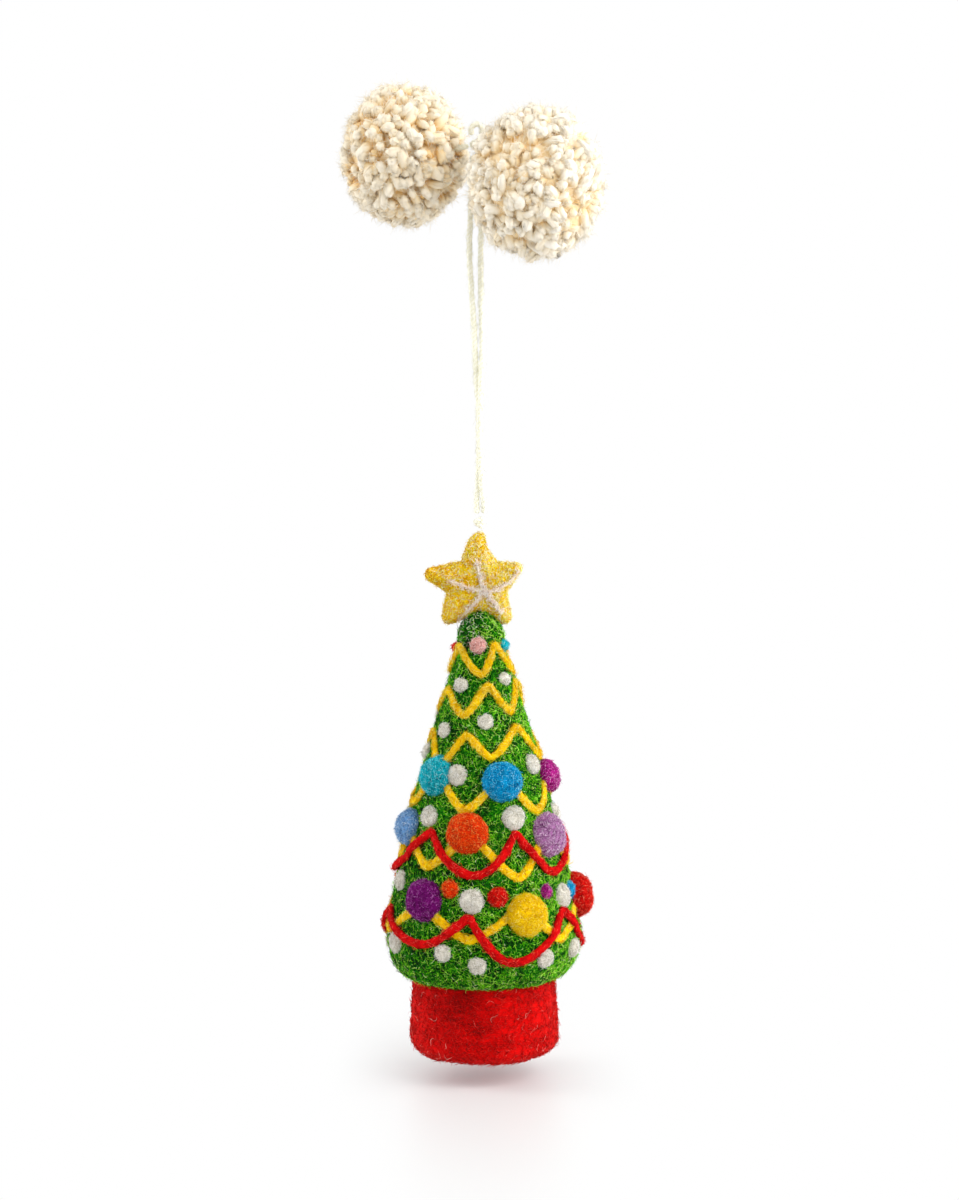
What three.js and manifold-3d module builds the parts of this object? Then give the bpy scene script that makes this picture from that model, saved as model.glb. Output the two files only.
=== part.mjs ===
import * as THREE from 'three';
import { mergeGeometries, mergeVertices } from 'three/addons/utils/BufferGeometryUtils.js';
import Module from 'manifold-3d';

// A needle-felted wool tree with a star, hung on a doubled yarn with two yarn pompoms.
// Millimetres, +Z up, the front towards -Y. The origin is inside the top of the loop,
// where a hook carries it.

const wasm = await Module();
wasm.setup();

// Clearances and cutting
const seatGap = 0.3;
const overrun = 5;

// Yarn
const yarnDiameter = 1.3;
const loopEyeWidth = 1.3;
const loopEyeHeight = 2.2;
const topKnotDiameter = 4;
const lowerKnotDiameter = 3.4;
const anchorKnotDiameter = 5;
const knotDrop = 93.9;
const yarnStep = 3.9;

// Pompoms: places from the hook, across, back and up
const pompomLeftDiameter = 32.6;
const pompomLeftAcross = -17.6;
const pompomLeftBack = 9;
const pompomLeftUp = -6.2;
const pompomRightDiameter = 34;
const pompomRightAcross = 13.7;
const pompomRightBack = -11;
const pompomRightUp = -13.6;
const tuftWidth = 3.4;
const pompomTallness = 1.08;

// Star
const starReach = 12.3;
const starThickness = 5.2;
const starRounding = 1.2;
const starThreadWidth = 0.9;
const starThreadHeight = 0.5;
const starToCone = 17.9;

// Cone of felt, pot of felt and the wool inside them
const coneHeight = 89.9;
const coneRadius = 23.4;
const coneTipRadius = 4.6;
const coneTipDepth = 6;
const rimInset = 5.8;
const rimDepth = 10.2;
const skinWall = 3;
const coreMouthRadius = 11;
const potHeight = 18.6;
const potRadius = 17.6;
const potRounding = 4;
const potBulge = 0.7;

// Garlands of roving, and the felt balls
const yellowWidth = 1.6;
const yellowHeight = 1;
const redWidth = 2;
const redHeight = 1.4;
const ballProud = 3.4;
const pelletProud = 1.5;

// Counts of facets
const skinFacets = 32;
const coreFacets = 20;
const yarnFacets = 8;
const garlandFacets = 5;
const ballFacets = 8;
const pelletFacets = 6;
const yellowSteps = 3;
const redSteps = 4;

// Heights that follow from the sizes above
const topKnotHeight = -loopEyeHeight - topKnotDiameter / 2;
const lowerKnotHeight = -knotDrop;
const starTop = lowerKnotHeight - lowerKnotDiameter / 2 - seatGap;
const starHeight = starTop - starReach;
const coneTop = starTop - starToCone;
const coneBottom = coneTop - coneHeight;
const potTop = coneBottom - seatGap;
const potBottom = potTop - potHeight;

// The route of each strand, from the top knot down to the lower one, in millimetres
const leftRoute = [
  [-0.95, 0, -6.7], [-1.2, 0.2, -12], [-1.7, 0.3, -20], [-2, 0.2, -29.5], [-1.6, 0.1, -39],
  [-1.05, 0.1, -48], [-0.85, 0.3, -54], [-0.5, 0.75, -61], [-0.15, 0.85, -68], [-0.2, 0.85, -78],
  [-0.6, 0.7, -85], [-0.85, 0.2, -89], [-0.85, 0, -91.7],
];
const rightRoute = [
  [0.95, 0, -6.7], [1, -0.1, -12], [0.9, -0.2, -20], [0.65, -0.1, -29.5], [0.6, 0, -39],
  [0.75, -0.1, -48], [0.8, -0.3, -54], [0.45, -0.8, -61], [0.1, -0.85, -68], [0.1, -0.85, -78],
  [0.5, -0.7, -85], [0.85, -0.2, -89], [0.85, 0, -91.7],
];

// Arms of the star: the angle clockwise from the top, and the reach as a share of starReach
const tipShares = [[0, 1], [68, 0.86], [146, 0.92], [223, 1.03], [280.5, 1.08]];
const notchShares = [[38, 0.48], [112, 0.52], [188, 0.56], [255, 0.66], [318, 0.54]];
const tipRoundShare = 0.78;
const tipControlShare = 1.12;
const bellyShare = 0.47;
const bellyProudShare = 0.14;

// Threads on the star's front: across and up, as shares of starReach from its middle
const threadMiddleShares = [0.08, -0.155];
const threadEndShares = [
  [-0.08, 0.42], [-0.62, 0.08], [0.74, 0.26], [-0.46, -0.75], [0.42, -0.6],
];

// The cone's flank bends through two places: shares of its radius and of its height
const flankUpperShares = [0.26, 0.2];
const flankLowerShares = [0.75, 0.45];

// Turning points of each garland: the angle from the front, and the depth below the cone's
// tip as a share of the cone's height. Each runs right round and closes on itself.
const yellowTurnShares = [
  [[-62, 0.106], [1, 0.178], [33, 0.102], [84, 0.18], [132, 0.102], [180, 0.18], [226, 0.102],
    [264, 0.175]],
  [[-64, 0.222], [-25, 0.284], [11, 0.206], [41, 0.276], [76, 0.202], [116, 0.278], [152, 0.206],
    [188, 0.282], [224, 0.208], [260, 0.279]],
  [[-76, 0.334], [-46, 0.416], [-18, 0.333], [9, 0.39], [45, 0.318], [83, 0.406], [122, 0.33],
    [160, 0.396], [200, 0.32], [242, 0.394]],
  [[-43, 0.442], [-15, 0.526], [17, 0.448], [50, 0.537], [78, 0.464], [115, 0.524], [152, 0.454],
    [190, 0.524], [230, 0.454], [276, 0.53]],
  [[-66, 0.604], [-42, 0.676], [-9, 0.594], [24, 0.702], [54, 0.598], [86, 0.69], [120, 0.604],
    [156, 0.696], [192, 0.604], [222, 0.694], [248, 0.606], [272, 0.688]],
  [[-40, 0.781], [-9, 0.858], [25.5, 0.782], [52, 0.875], [84, 0.791], [115, 0.868],
    [145, 0.786], [175, 0.868], [205, 0.786], [233, 0.868], [258, 0.796], [281, 0.862]],
];
const redTurnShares = [
  [[-42, 0.583], [-6, 0.691], [24.5, 0.583], [54.5, 0.698], [90, 0.594], [128, 0.702],
    [166, 0.594], [202, 0.704], [236, 0.594], [271, 0.708]],
  [[-75, 0.806], [-41, 0.877], [-9.5, 0.797], [16, 0.918], [55, 0.798], [90, 0.912],
    [125, 0.806], [158, 0.908], [190, 0.806], [220, 0.908], [246, 0.806], [266, 0.884]],
];

// Felt balls in three rows round the cone: name, colour, angle, depth share and diameter
const ballTable = [
  ['ball_turquoise', 'turquoise', -45.5, 0.441, 9],
  ['ball_blue', 'blue', 18, 0.453, 9.2],
  ['ball_magenta', 'magenta', 81, 0.458, 7.6],
  ['ball_light_blue', 'lightBlue', -73, 0.583, 8.6],
  ['ball_orange', 'orange', -10.5, 0.579, 9.8],
  ['ball_lavender', 'lavender', 57, 0.603, 10.6],
  ['ball_purple', 'purple', -40.5, 0.757, 10.2],
  ['ball_yellow', 'yellowFelt', 26, 0.795, 10.4],
  ['ball_red', 'redFelt', 87, 0.784, 10.4],
  ['ball_back_orange', 'orange', 132, 0.447, 9.4],
  ['ball_back_purple', 'purple', 178, 0.442, 9.6],
  ['ball_back_yellow', 'yellowFelt', 224, 0.449, 9.2],
  ['ball_back_blue', 'blue', 130, 0.584, 10.2],
  ['ball_back_red', 'redFelt', 180, 0.579, 10],
  ['ball_back_magenta', 'magenta', 230, 0.589, 10.4],
  ['ball_back_turquoise', 'turquoise', 136, 0.786, 10.6],
  ['ball_back_lavender', 'lavender', 184, 0.781, 10.6],
  ['ball_back_orange_low', 'orange', 232, 0.776, 10.4],
];

// Small felted pellets: name, colour, angle, depth share and diameter
const pelletTable = [
  ['pellet_pink', 'pink', -8, 0.101, 3.8],
  ['pellet_white_1', 'white', 42, 0.19, 3],
  ['pellet_white_2', 'white', 4.5, 0.298, 3.4],
  ['pellet_white_3', 'white', -23.5, 0.431, 4.6],
  ['pellet_white_4', 'white', 56, 0.417, 4.6],
  ['pellet_white_5', 'white', -48, 0.549, 4.9],
  ['pellet_white_6', 'white', 24, 0.547, 5.6],
  ['pellet_red', 'redFelt', 9, 0.747, 4.6],
  ['pellet_orange', 'orange', -22, 0.727, 4.1],
  ['pellet_white_7', 'white', -7.5, 0.757, 5.6],
  ['pellet_white_8', 'white', 59.5, 0.767, 5.4],
  ['pellet_white_9', 'white', -62, 0.882, 5],
  ['pellet_white_10', 'white', 36.5, 0.917, 4.2],
  ['pellet_white_11', 'white', 63, 0.908, 4],
  ['pellet_white_12', 'white', -24.5, 0.894, 4],
  ['pellet_white_13', 'white', -4.5, 0.921, 4],
  ['pellet_white_14', 'white', -37, 0.206, 3.4],
];

// Colours of the felts and yarns
function felt(color, roughness = 0.95) {
  return new THREE.MeshStandardMaterial({ color, roughness, metalness: 0 });
}
const felts = {
  yarn: felt(0xf0eedc),
  pompom: felt(0xf3e8d2),
  star: felt(0xd7a523),
  starThread: felt(0xeed6cc),
  green: felt(0x2f7a1c),
  wool: felt(0xe6dfd0),
  redFelt: felt(0xc80e10),
  redRoving: felt(0xb80c12),
  yellowRoving: felt(0xe0aa18),
  turquoise: felt(0x149ca8),
  blue: felt(0x0a80d0),
  magenta: felt(0xaa2a8c),
  lightBlue: felt(0x6e96c8),
  orange: felt(0xe04c1a),
  lavender: felt(0xa573a5),
  purple: felt(0x7c1e78),
  yellowFelt: felt(0xebc30f),
  white: felt(0xe1dcd2),
  pink: felt(0xdcafaa),
};

// Solids from closed geometries, and back
function solid(geometry) {
  const bare = geometry.clone();
  bare.deleteAttribute('normal');
  bare.deleteAttribute('uv');
  const welded = mergeVertices(bare);
  const corners = welded.index.array;
  const kept = [];
  for (let i = 0; i < corners.length; i += 3) {
    const [a, b, c] = corners.slice(i, i + 3);
    if (a !== b && b !== c && c !== a) kept.push(a, b, c);
  }
  return new wasm.Manifold(new wasm.Mesh({
    numProp: 3,
    vertProperties: new Float32Array(welded.attributes.position.array),
    triVerts: new Uint32Array(kept),
  }));
}

function meshOf(name, body, material) {
  const { vertProperties, triVerts } = body.getMesh();
  const geometry = new THREE.BufferGeometry();
  geometry.setAttribute('position', new THREE.BufferAttribute(vertProperties, 3));
  geometry.setIndex(new THREE.BufferAttribute(triVerts, 1));
  geometry.computeVertexNormals();
  const mesh = new THREE.Mesh(geometry, material);
  mesh.name = name;
  return mesh;
}

function largestBody(body) {
  const bodies = body.decompose();
  return bodies.reduce((best, next) => (next.volume() > best.volume() ? next : best));
}

function joined(bodies) {
  return bodies.reduce((sum, next) => sum.add(next));
}

// Turned forms stand on the Z axis: an outline of (radius, height) points from top to bottom
function turned(outline, facets) {
  const upward = [...outline].reverse().map(([radius, height]) => new THREE.Vector2(radius, height));
  return solid(new THREE.LatheGeometry(upward, facets).rotateX(Math.PI / 2));
}

function upright(radius, low, high, facets) {
  return turned([[0, high], [radius, high], [radius, low], [0, low]], facets);
}

function ball(radius, around, up) {
  return new THREE.SphereGeometry(radius, around, up);
}

// A knot: a ball of yarn with a turn standing on it, all within its diameter
function knot(name, diameter, height) {
  const yarnRadius = yarnDiameter / 2;
  const turnRadius = diameter / 2 - yarnRadius;
  const turn = new THREE.TorusGeometry(turnRadius, yarnRadius, 5, 10).rotateY(Math.PI / 3);
  const body = solid(ball(turnRadius + yarnRadius / 2, 8, 5)).add(solid(turn));
  const mesh = meshOf(name, body, felts.yarn);
  mesh.position.z = height;
  return mesh;
}

// A tube of yarn along a curve
function yarnTube(curve, steps) {
  const section = new THREE.Shape();
  section.absarc(0, 0, yarnDiameter / 2, 0, 2 * Math.PI, false);
  return solid(new THREE.ExtrudeGeometry(section, {
    extrudePath: curve, steps, curveSegments: yarnFacets / 2, bevelEnabled: false,
  }));
}

// The loop that a hook goes through: a half turn of yarn and the two legs into the top knot
const loopTurnSteps = 8;

function hangLoop() {
  const middle = (loopEyeWidth + yarnDiameter) / 2;
  const turnHeight = yarnDiameter / 2 - middle;
  const points = [new THREE.Vector3(-middle, 0, -loopEyeHeight + seatGap)];
  for (let step = 0; step <= loopTurnSteps; step += 1) {
    const turn = Math.PI * (1 - step / loopTurnSteps);
    points.push(new THREE.Vector3(
      middle * Math.cos(turn), 0, turnHeight + middle * Math.sin(turn),
    ));
  }
  points.push(new THREE.Vector3(middle, 0, -loopEyeHeight + seatGap));
  const bight = new THREE.CatmullRomCurve3(points);
  return meshOf('hang_loop', yarnTube(bight, loopTurnSteps + loopTurnSteps / 2), felts.yarn);
}

// The two strands between the knots
function strand(name, route) {
  const curve = new THREE.CatmullRomCurve3(route.map((point) => new THREE.Vector3(...point)));
  const steps = Math.round(curve.getLength() / yarnStep);
  return meshOf(name, yarnTube(curve, steps), felts.yarn);
}

// Pompoms: tufts of yarn that stand out of a ball, evenly spread by the golden angle. No tuft
// stands where the tie comes in, and the tie runs on through a parting to near the middle.
const pompomCoreShare = 0.72;
const tuftCount = 58;
const tuftSpreadShare = 0.07;
const tuftTaperShare = 0.75;
const tuftFootShare = 0.7;
const tieFootShare = 0.25;
const partingAngle = 17 * Math.PI / 180;

function tuftDirection(index) {
  const golden = Math.PI * (3 - Math.sqrt(5));
  const up = 1 - (2 * index + 1) / tuftCount;
  const across = Math.sqrt(1 - up * up);
  return new THREE.Vector3(across * Math.cos(golden * index), across * Math.sin(golden * index), up);
}

function tuft(index, radius, coreRadius) {
  const direction = tuftDirection(index);
  const unevenness = 0.5 + 0.5 * Math.sin(index * index);
  const tip = radius * (1 - tuftSpreadShare * unevenness);
  const foot = tuftFootShare * coreRadius;
  const shaft = new THREE.CylinderGeometry(
    tuftWidth / 2, tuftTaperShare * tuftWidth / 2, tip - foot, 3,
  );
  shaft.translate(0, (tip + foot) / 2, 0);
  const turn = new THREE.Quaternion().setFromUnitVectors(new THREE.Vector3(0, 1, 0), direction);
  return shaft.applyQuaternion(turn);
}

function pompom(side, diameter, place) {
  const radius = diameter / 2;
  const coreRadius = pompomCoreShare * radius;
  const knotPlace = new THREE.Vector3(0, 0, topKnotHeight);
  const toKnot = knotPlace.clone().sub(place);
  const tieDirection = toKnot.clone().normalize();

  const tufts = [];
  for (let index = 0; index < tuftCount; index += 1) {
    if (tuftDirection(index).angleTo(tieDirection) > partingAngle) {
      tufts.push(tuft(index, radius, coreRadius));
    }
  }
  const tieFoot = tieFootShare * coreRadius;
  const parting = new THREE.CylinderGeometry(
    yarnDiameter / 2 + seatGap, yarnDiameter / 2 + seatGap, coreRadius + overrun, yarnFacets,
  );
  parting.translate(0, tieFoot - seatGap + (coreRadius + overrun) / 2, 0);
  parting.applyQuaternion(
    new THREE.Quaternion().setFromUnitVectors(new THREE.Vector3(0, 1, 0), tieDirection),
  );
  const core = new THREE.IcosahedronGeometry(coreRadius);
  const ballOfTufts = solid(core).add(solid(mergeGeometries(tufts)));
  const body = ballOfTufts.scale([1, 1, pompomTallness]).subtract(solid(parting));
  const mesh = meshOf(`pompom_${side}`, body, felts.pompom);
  mesh.position.copy(place);

  const tieStart = knotPlace.clone().addScaledVector(
    tieDirection, -(topKnotDiameter / 2 + seatGap),
  );
  const tieEnd = place.clone().addScaledVector(tieDirection, tieFoot);
  const tie = meshOf(
    `pompom_tie_${side}`, yarnTube(new THREE.LineCurve3(tieStart, tieEnd), 2), felts.yarn,
  );
  return [mesh, tie];
}

// The star's outline, drawn across and up from its middle, inside its rounded edge
function polar([angle, share]) {
  const turn = THREE.MathUtils.degToRad(angle);
  const reach = share * starReach - starRounding;
  return new THREE.Vector2(Math.sin(turn), Math.cos(turn)).multiplyScalar(reach);
}

function starOutline() {
  const shape = new THREE.Shape();
  const arms = tipShares.length;
  const start = polar(notchShares[arms - 1]);
  shape.moveTo(start.x, start.y);
  tipShares.forEach(([angle, share], arm) => {
    const before = polar(notchShares[(arm + arms - 1) % arms]);
    const after = polar(notchShares[arm]);
    const tip = polar([angle, share]);
    const control = polar([angle, share * tipControlShare]);
    const up = before.clone().lerp(tip, tipRoundShare);
    const down = after.clone().lerp(tip, tipRoundShare);
    shape.lineTo(up.x, up.y);
    shape.quadraticCurveTo(control.x, control.y, down.x, down.y);
    if (arm < arms - 1) shape.lineTo(after.x, after.y);
  });
  return shape;
}

// The star's felt, or the same grown all over by an allowance
function starBody(allowance) {
  const half = starThickness / 2;
  const puff = half - starRounding / 2;
  const slab = new THREE.ExtrudeGeometry(starOutline(), {
    depth: starRounding,
    bevelThickness: puff + allowance,
    bevelSize: starRounding + allowance,
    bevelSegments: 2,
    curveSegments: 3,
  });
  slab.translate(0, 0, -starRounding / 2);
  const belly = ball(1, 12, 6);
  const bellyRadius = bellyShare * starReach + allowance;
  belly.scale(bellyRadius, bellyRadius, half + bellyProudShare * starThickness + allowance);
  return solid(slab).add(solid(belly)).rotate([90, 0, 0]).translate([0, 0, starHeight]);
}

function star(boreCutter, coneCutter) {
  return meshOf('star', starBody(0).subtract(boreCutter).subtract(coneCutter), felts.star);
}

// Five threads laid on the star's front, spread from one stitch
function starThreads(coneCutter) {
  const [middleX, middleY] = threadMiddleShares.map((share) => share * starReach);
  const bars = threadEndShares.map(([acrossShare, upShare]) => {
    const across = acrossShare * starReach - middleX;
    const up = upShare * starReach - middleY;
    const length = Math.hypot(across, up);
    const bar = new THREE.BoxGeometry(length, starThreadWidth, starThickness + overrun);
    bar.translate(length / 2, 0, (starThickness + overrun) / 2);
    bar.rotateZ(Math.atan2(up, across));
    return solid(bar.translate(middleX, middleY, 0));
  });
  const hub = new THREE.CylinderGeometry(
    starThreadWidth, starThreadWidth, starThickness + overrun, 8,
  );
  hub.rotateX(Math.PI / 2).translate(middleX, middleY, (starThickness + overrun) / 2);
  const spread = joined([...bars, solid(hub)]).rotate([90, 0, 0]).translate([0, 0, starHeight]);
  const layer = starBody(seatGap + starThreadHeight).subtract(starBody(seatGap));
  return meshOf(
    'star_threads', largestBody(spread.intersect(layer).subtract(coneCutter)), felts.starThread,
  );
}

// The cone's outline from the tip to the underside, as (radius, depth)
function conePath() {
  const rimTop = coneHeight - rimDepth;
  const path = new THREE.Path();
  path.absellipse(0, -coneTipDepth, coneTipRadius, coneTipDepth, Math.PI / 2, 0, true);
  path.bezierCurveTo(
    flankUpperShares[0] * coneRadius, -flankUpperShares[1] * coneHeight,
    flankLowerShares[0] * coneRadius, -flankLowerShares[1] * coneHeight,
    coneRadius, -rimTop,
  );
  path.absellipse(coneRadius - rimInset, -rimTop, rimInset, rimDepth, 0, -Math.PI / 2, true);
  return path;
}

const coneLine = [
  ...conePath().curves[0].getPoints(3),
  ...conePath().curves[1].getPoints(6).slice(1),
  ...conePath().curves[2].getPoints(4).slice(1),
];

// The outline moved out along its own normals by an allowance, or in where it is negative
function coneLineGrown(allowance) {
  return coneLine.map((point, index) => {
    const before = coneLine[Math.max(index - 1, 0)];
    const after = coneLine[Math.min(index + 1, coneLine.length - 1)];
    const along = after.clone().sub(before).normalize();
    const onAxis = index === 0;
    const atUnderside = index === coneLine.length - 1;
    const radius = onAxis ? 0 : point.x - along.y * allowance;
    const height = onAxis ? allowance : point.y + along.x * allowance;
    return [Math.max(radius, 0), coneTop + (atUnderside ? -coneHeight - allowance : height)];
  });
}

function coneBody(allowance, facets) {
  const outline = coneLineGrown(allowance);
  const last = outline[outline.length - 1];
  return turned([...outline, [0, last[1]]], facets);
}

// A place on the cone: the point, and the outward normal, at an angle from the front
function onCone(angle, depthShare) {
  const depth = depthShare * coneHeight;
  const index = coneLine.findIndex((point) => -point.y >= depth);
  const above = coneLine[Math.max(index - 1, 0)];
  const below = coneLine[Math.max(index, 1)];
  const share = (depth + above.y) / (above.y - below.y);
  const radius = THREE.MathUtils.lerp(above.x, below.x, share);
  const along = below.clone().sub(above).normalize();
  const turn = THREE.MathUtils.degToRad(angle);
  const out = new THREE.Vector3(Math.sin(turn), -Math.cos(turn), 0);
  const point = out.clone().multiplyScalar(radius);
  point.z = coneTop - depth;
  const normal = out.multiplyScalar(-along.y);
  normal.z = along.x;
  return { point, normal: normal.normalize() };
}

// A garland's line, with straight runs or with round valleys where it is hung, and the same
// lifted over whatever it crosses
function garlandLine(turns, stepsPerTurn, hung) {
  const line = [];
  turns.forEach(([angle, depth], index) => {
    const wraps = index === turns.length - 1;
    const [nextAngle, nextDepth] = turns[(index + 1) % turns.length];
    const span = nextAngle + (wraps ? 360 : 0) - angle;
    for (let step = 0; step < stepsPerTurn; step += 1) {
      const share = step / stepsPerTurn;
      const swing = (1 - Math.cos(Math.PI * share)) / 2;
      const quarter = Math.PI * share / 2;
      const sagged = nextDepth > depth ? Math.sin(quarter) : 1 - Math.cos(quarter);
      const eased = hung ? sagged : (share + swing) / 2;
      line.push(onCone(angle + span * share, THREE.MathUtils.lerp(depth, nextDepth, eased)));
    }
  });
  return line;
}

function finer(line, times) {
  return line.flatMap(({ point }, index) => {
    const next = line[(index + 1) % line.length].point;
    return Array.from({ length: times }, (_, step) => point.clone().lerp(next, step / times));
  });
}

function liftOver(line, crossed, reach, lift) {
  const points = crossed.flatMap((other) => finer(other, 4));
  const places = finer(line, 2);
  const shares = places.map((place) => {
    const near = Math.min(...points.map((other) => other.distanceTo(place)));
    return THREE.MathUtils.smoothstep(2 - near / reach, 0, 1);
  });
  return line.map(({ point, normal }, index) => {
    const [before, here, after] = [-1, 0, 1].map(
      (side) => shares[(2 * index + side + shares.length) % shares.length],
    );
    return { point, normal, lift: lift * Math.max(before, here, after) };
  });
}

// A closed band of roving along a line on the cone, with an oval section that stands clear
// of the felt, or the same grown by an allowance
function garlandBody(line, width, height, allowance) {
  const positions = [];
  const corners = [];
  const count = line.length;
  line.forEach(({ point, normal, lift = 0 }, index) => {
    const before = line[(index + count - 1) % count].point;
    const after = line[(index + 1) % count].point;
    const side = after.clone().sub(before).cross(normal).normalize();
    const middle = point.clone().addScaledVector(normal, seatGap + height / 2 + lift);
    for (let corner = 0; corner < garlandFacets; corner += 1) {
      const turn = 2 * Math.PI * corner / garlandFacets;
      const place = middle.clone()
        .addScaledVector(normal, Math.cos(turn) * (height / 2 + allowance))
        .addScaledVector(side, Math.sin(turn) * (width / 2 + allowance));
      positions.push(place.x, place.y, place.z);
      const nextIndex = (index + 1) % count;
      const nextCorner = (corner + 1) % garlandFacets;
      const [a, b] = [corner, nextCorner].map((at) => index * garlandFacets + at);
      const [c, d] = [corner, nextCorner].map((at) => nextIndex * garlandFacets + at);
      corners.push(a, b, c, b, d, c);
    }
  });
  const geometry = new THREE.BufferGeometry();
  geometry.setAttribute('position', new THREE.Float32BufferAttribute(positions, 3));
  geometry.setIndex(corners);
  return solid(geometry);
}

// A felted ball sits half sunk on the cone, cut to its seat
function feltedBall(angle, depthShare, diameter, proud, allowance, facets) {
  const { point, normal } = onCone(angle, depthShare);
  const shape = ball(1, facets, facets / 2 + 1);
  const radius = diameter / 2 + allowance;
  shape.scale(radius, proud + allowance, radius);
  const turn = new THREE.Quaternion().setFromUnitVectors(new THREE.Vector3(0, 1, 0), normal);
  return solid(shape.applyQuaternion(turn).translate(point.x, point.y, point.z));
}

// The wool inside: a core in the cone, and one in the pot with a pocket for the knot
function coneSkin(boreCutter) {
  const inside = coneBody(-skinWall, coreFacets);
  const mouth = upright(coreMouthRadius, coneBottom - overrun, coneBottom + 2 * skinWall, coreFacets);
  const body = coneBody(0, skinFacets).subtract(inside).subtract(mouth).subtract(boreCutter);
  return meshOf('cone_felt', body, felts.green);
}

function coneCore(boreCutter) {
  const body = coneBody(-skinWall - seatGap, coreFacets);
  const neck = upright(
    coreMouthRadius - seatGap, coneBottom, coneBottom + 2 * skinWall, coreFacets,
  );
  return meshOf('cone_wool_core', body.add(neck).subtract(boreCutter), felts.wool);
}

function potOutline(inset) {
  const radius = potRadius - inset;
  const low = potBottom + inset;
  const rounding = potRounding - Math.min(inset, potRounding / 2);
  const path = new THREE.Path();
  path.moveTo(radius - potBulge, potTop);
  path.quadraticCurveTo(radius, (potTop + low) / 2, radius, low + rounding);
  path.quadraticCurveTo(radius, low, radius - rounding, low);
  const side = path.getPoints(3).map((point) => [point.x, point.y]);
  return [[0, potTop], ...side, [0, low]];
}

function pot() {
  const shell = turned(potOutline(0), skinFacets);
  const inside = turned(potOutline(skinWall), coreFacets);
  const mouth = upright(
    potRadius - skinWall - potBulge, potTop - skinWall, potTop + overrun, coreFacets,
  );
  return meshOf('pot_felt', shell.subtract(inside).subtract(mouth), felts.redFelt);
}

function potCore() {
  const body = turned(potOutline(skinWall + seatGap), coreFacets);
  const pocket = upright(
    anchorKnotDiameter / 2 + seatGap, potTop - anchorKnotDiameter - 2 * seatGap,
    potTop + overrun, coreFacets,
  );
  return meshOf('pot_wool_core', body.subtract(pocket), felts.wool);
}

// The yarn that goes down through the star and the cone to its anchor knot
const anchorHeight = potTop - seatGap - anchorKnotDiameter / 2;

function innerYarn() {
  const top = new THREE.Vector3(0, 0, starTop);
  const bottom = new THREE.Vector3(0, 0, anchorHeight + anchorKnotDiameter / 2 + seatGap);
  return meshOf('inner_yarn', yarnTube(new THREE.LineCurve3(top, bottom), 1), felts.yarn);
}

// Assembly
const ornament = new THREE.Group();

const hanging = new THREE.Group();
hanging.add(
  hangLoop(),
  knot('top_knot', topKnotDiameter, topKnotHeight),
  strand('yarn_left', leftRoute),
  strand('yarn_right', rightRoute),
  knot('lower_knot', lowerKnotDiameter, lowerKnotHeight),
);
ornament.add(hanging);

const pompoms = new THREE.Group();
const pompomLeftPlace = new THREE.Vector3(pompomLeftAcross, pompomLeftBack, pompomLeftUp);
const pompomRightPlace = new THREE.Vector3(pompomRightAcross, pompomRightBack, pompomRightUp);
pompoms.add(
  ...pompom('left', pompomLeftDiameter, pompomLeftPlace),
  ...pompom('right', pompomRightDiameter, pompomRightPlace),
);
ornament.add(pompoms);

const bore = upright(
  yarnDiameter / 2 + seatGap, coneBottom - overrun, starTop + overrun, yarnFacets,
);
const coneGrown = coneBody(seatGap, skinFacets);

const tree = new THREE.Group();
tree.add(
  star(bore, coneGrown), starThreads(coneGrown), coneSkin(bore), coneCore(bore), pot(), potCore(),
  innerYarn(), knot('anchor_knot', anchorKnotDiameter, anchorHeight),
);

const yellowLines = yellowTurnShares.map((turns) => garlandLine(turns, yellowSteps, false));
const crossingReach = (yellowWidth + redWidth) / 2 + seatGap;
const crossingLift = yellowHeight + seatGap;
const redLines = redTurnShares.map((turns) => liftOver(
  garlandLine(turns, redSteps, true), yellowLines, crossingReach, crossingLift,
));

const garlandCutters = [];
yellowLines.forEach((line, index) => {
  const body = garlandBody(line, yellowWidth, yellowHeight, 0);
  tree.add(meshOf(`garland_yellow_${index + 1}`, body, felts.yellowRoving));
  garlandCutters.push(garlandBody(line, yellowWidth, yellowHeight, seatGap));
});
redLines.forEach((line, index) => {
  const body = garlandBody(line, redWidth, redHeight, 0);
  tree.add(meshOf(`garland_red_${index + 1}`, body, felts.redRoving));
  garlandCutters.push(garlandBody(line, redWidth, redHeight, seatGap));
});

const seatCutter = joined([coneGrown, ...garlandCutters]);
const ballCutters = [];
ballTable.forEach(([name, colour, angle, depthShare, diameter]) => {
  const whole = feltedBall(angle, depthShare, diameter, ballProud, 0, ballFacets);
  tree.add(meshOf(name, largestBody(whole.subtract(seatCutter)), felts[colour]));
  ballCutters.push(feltedBall(angle, depthShare, diameter, ballProud, seatGap, ballFacets));
});

const pelletCutter = joined([seatCutter, ...ballCutters]);
pelletTable.forEach(([name, colour, angle, depthShare, diameter]) => {
  const whole = feltedBall(angle, depthShare, diameter, pelletProud, 0, pelletFacets);
  tree.add(meshOf(name, largestBody(whole.subtract(pelletCutter)), felts[colour]));
});
ornament.add(tree);

export default ornament;
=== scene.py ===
"""A needle-felted wool tree with a star, hung on a doubled yarn under two yarn pompoms.

Metres, +Z up, the front towards -Y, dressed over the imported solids. Sizes are written in
millimetres times MM. Each felt is a lumpy solid under a coat of short curly fibres, the yarns
are plied, and the pompoms are tufts of cut yarn.
"""
import math

import bpy
import numpy as np
from mathutils import Matrix, Vector


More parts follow.
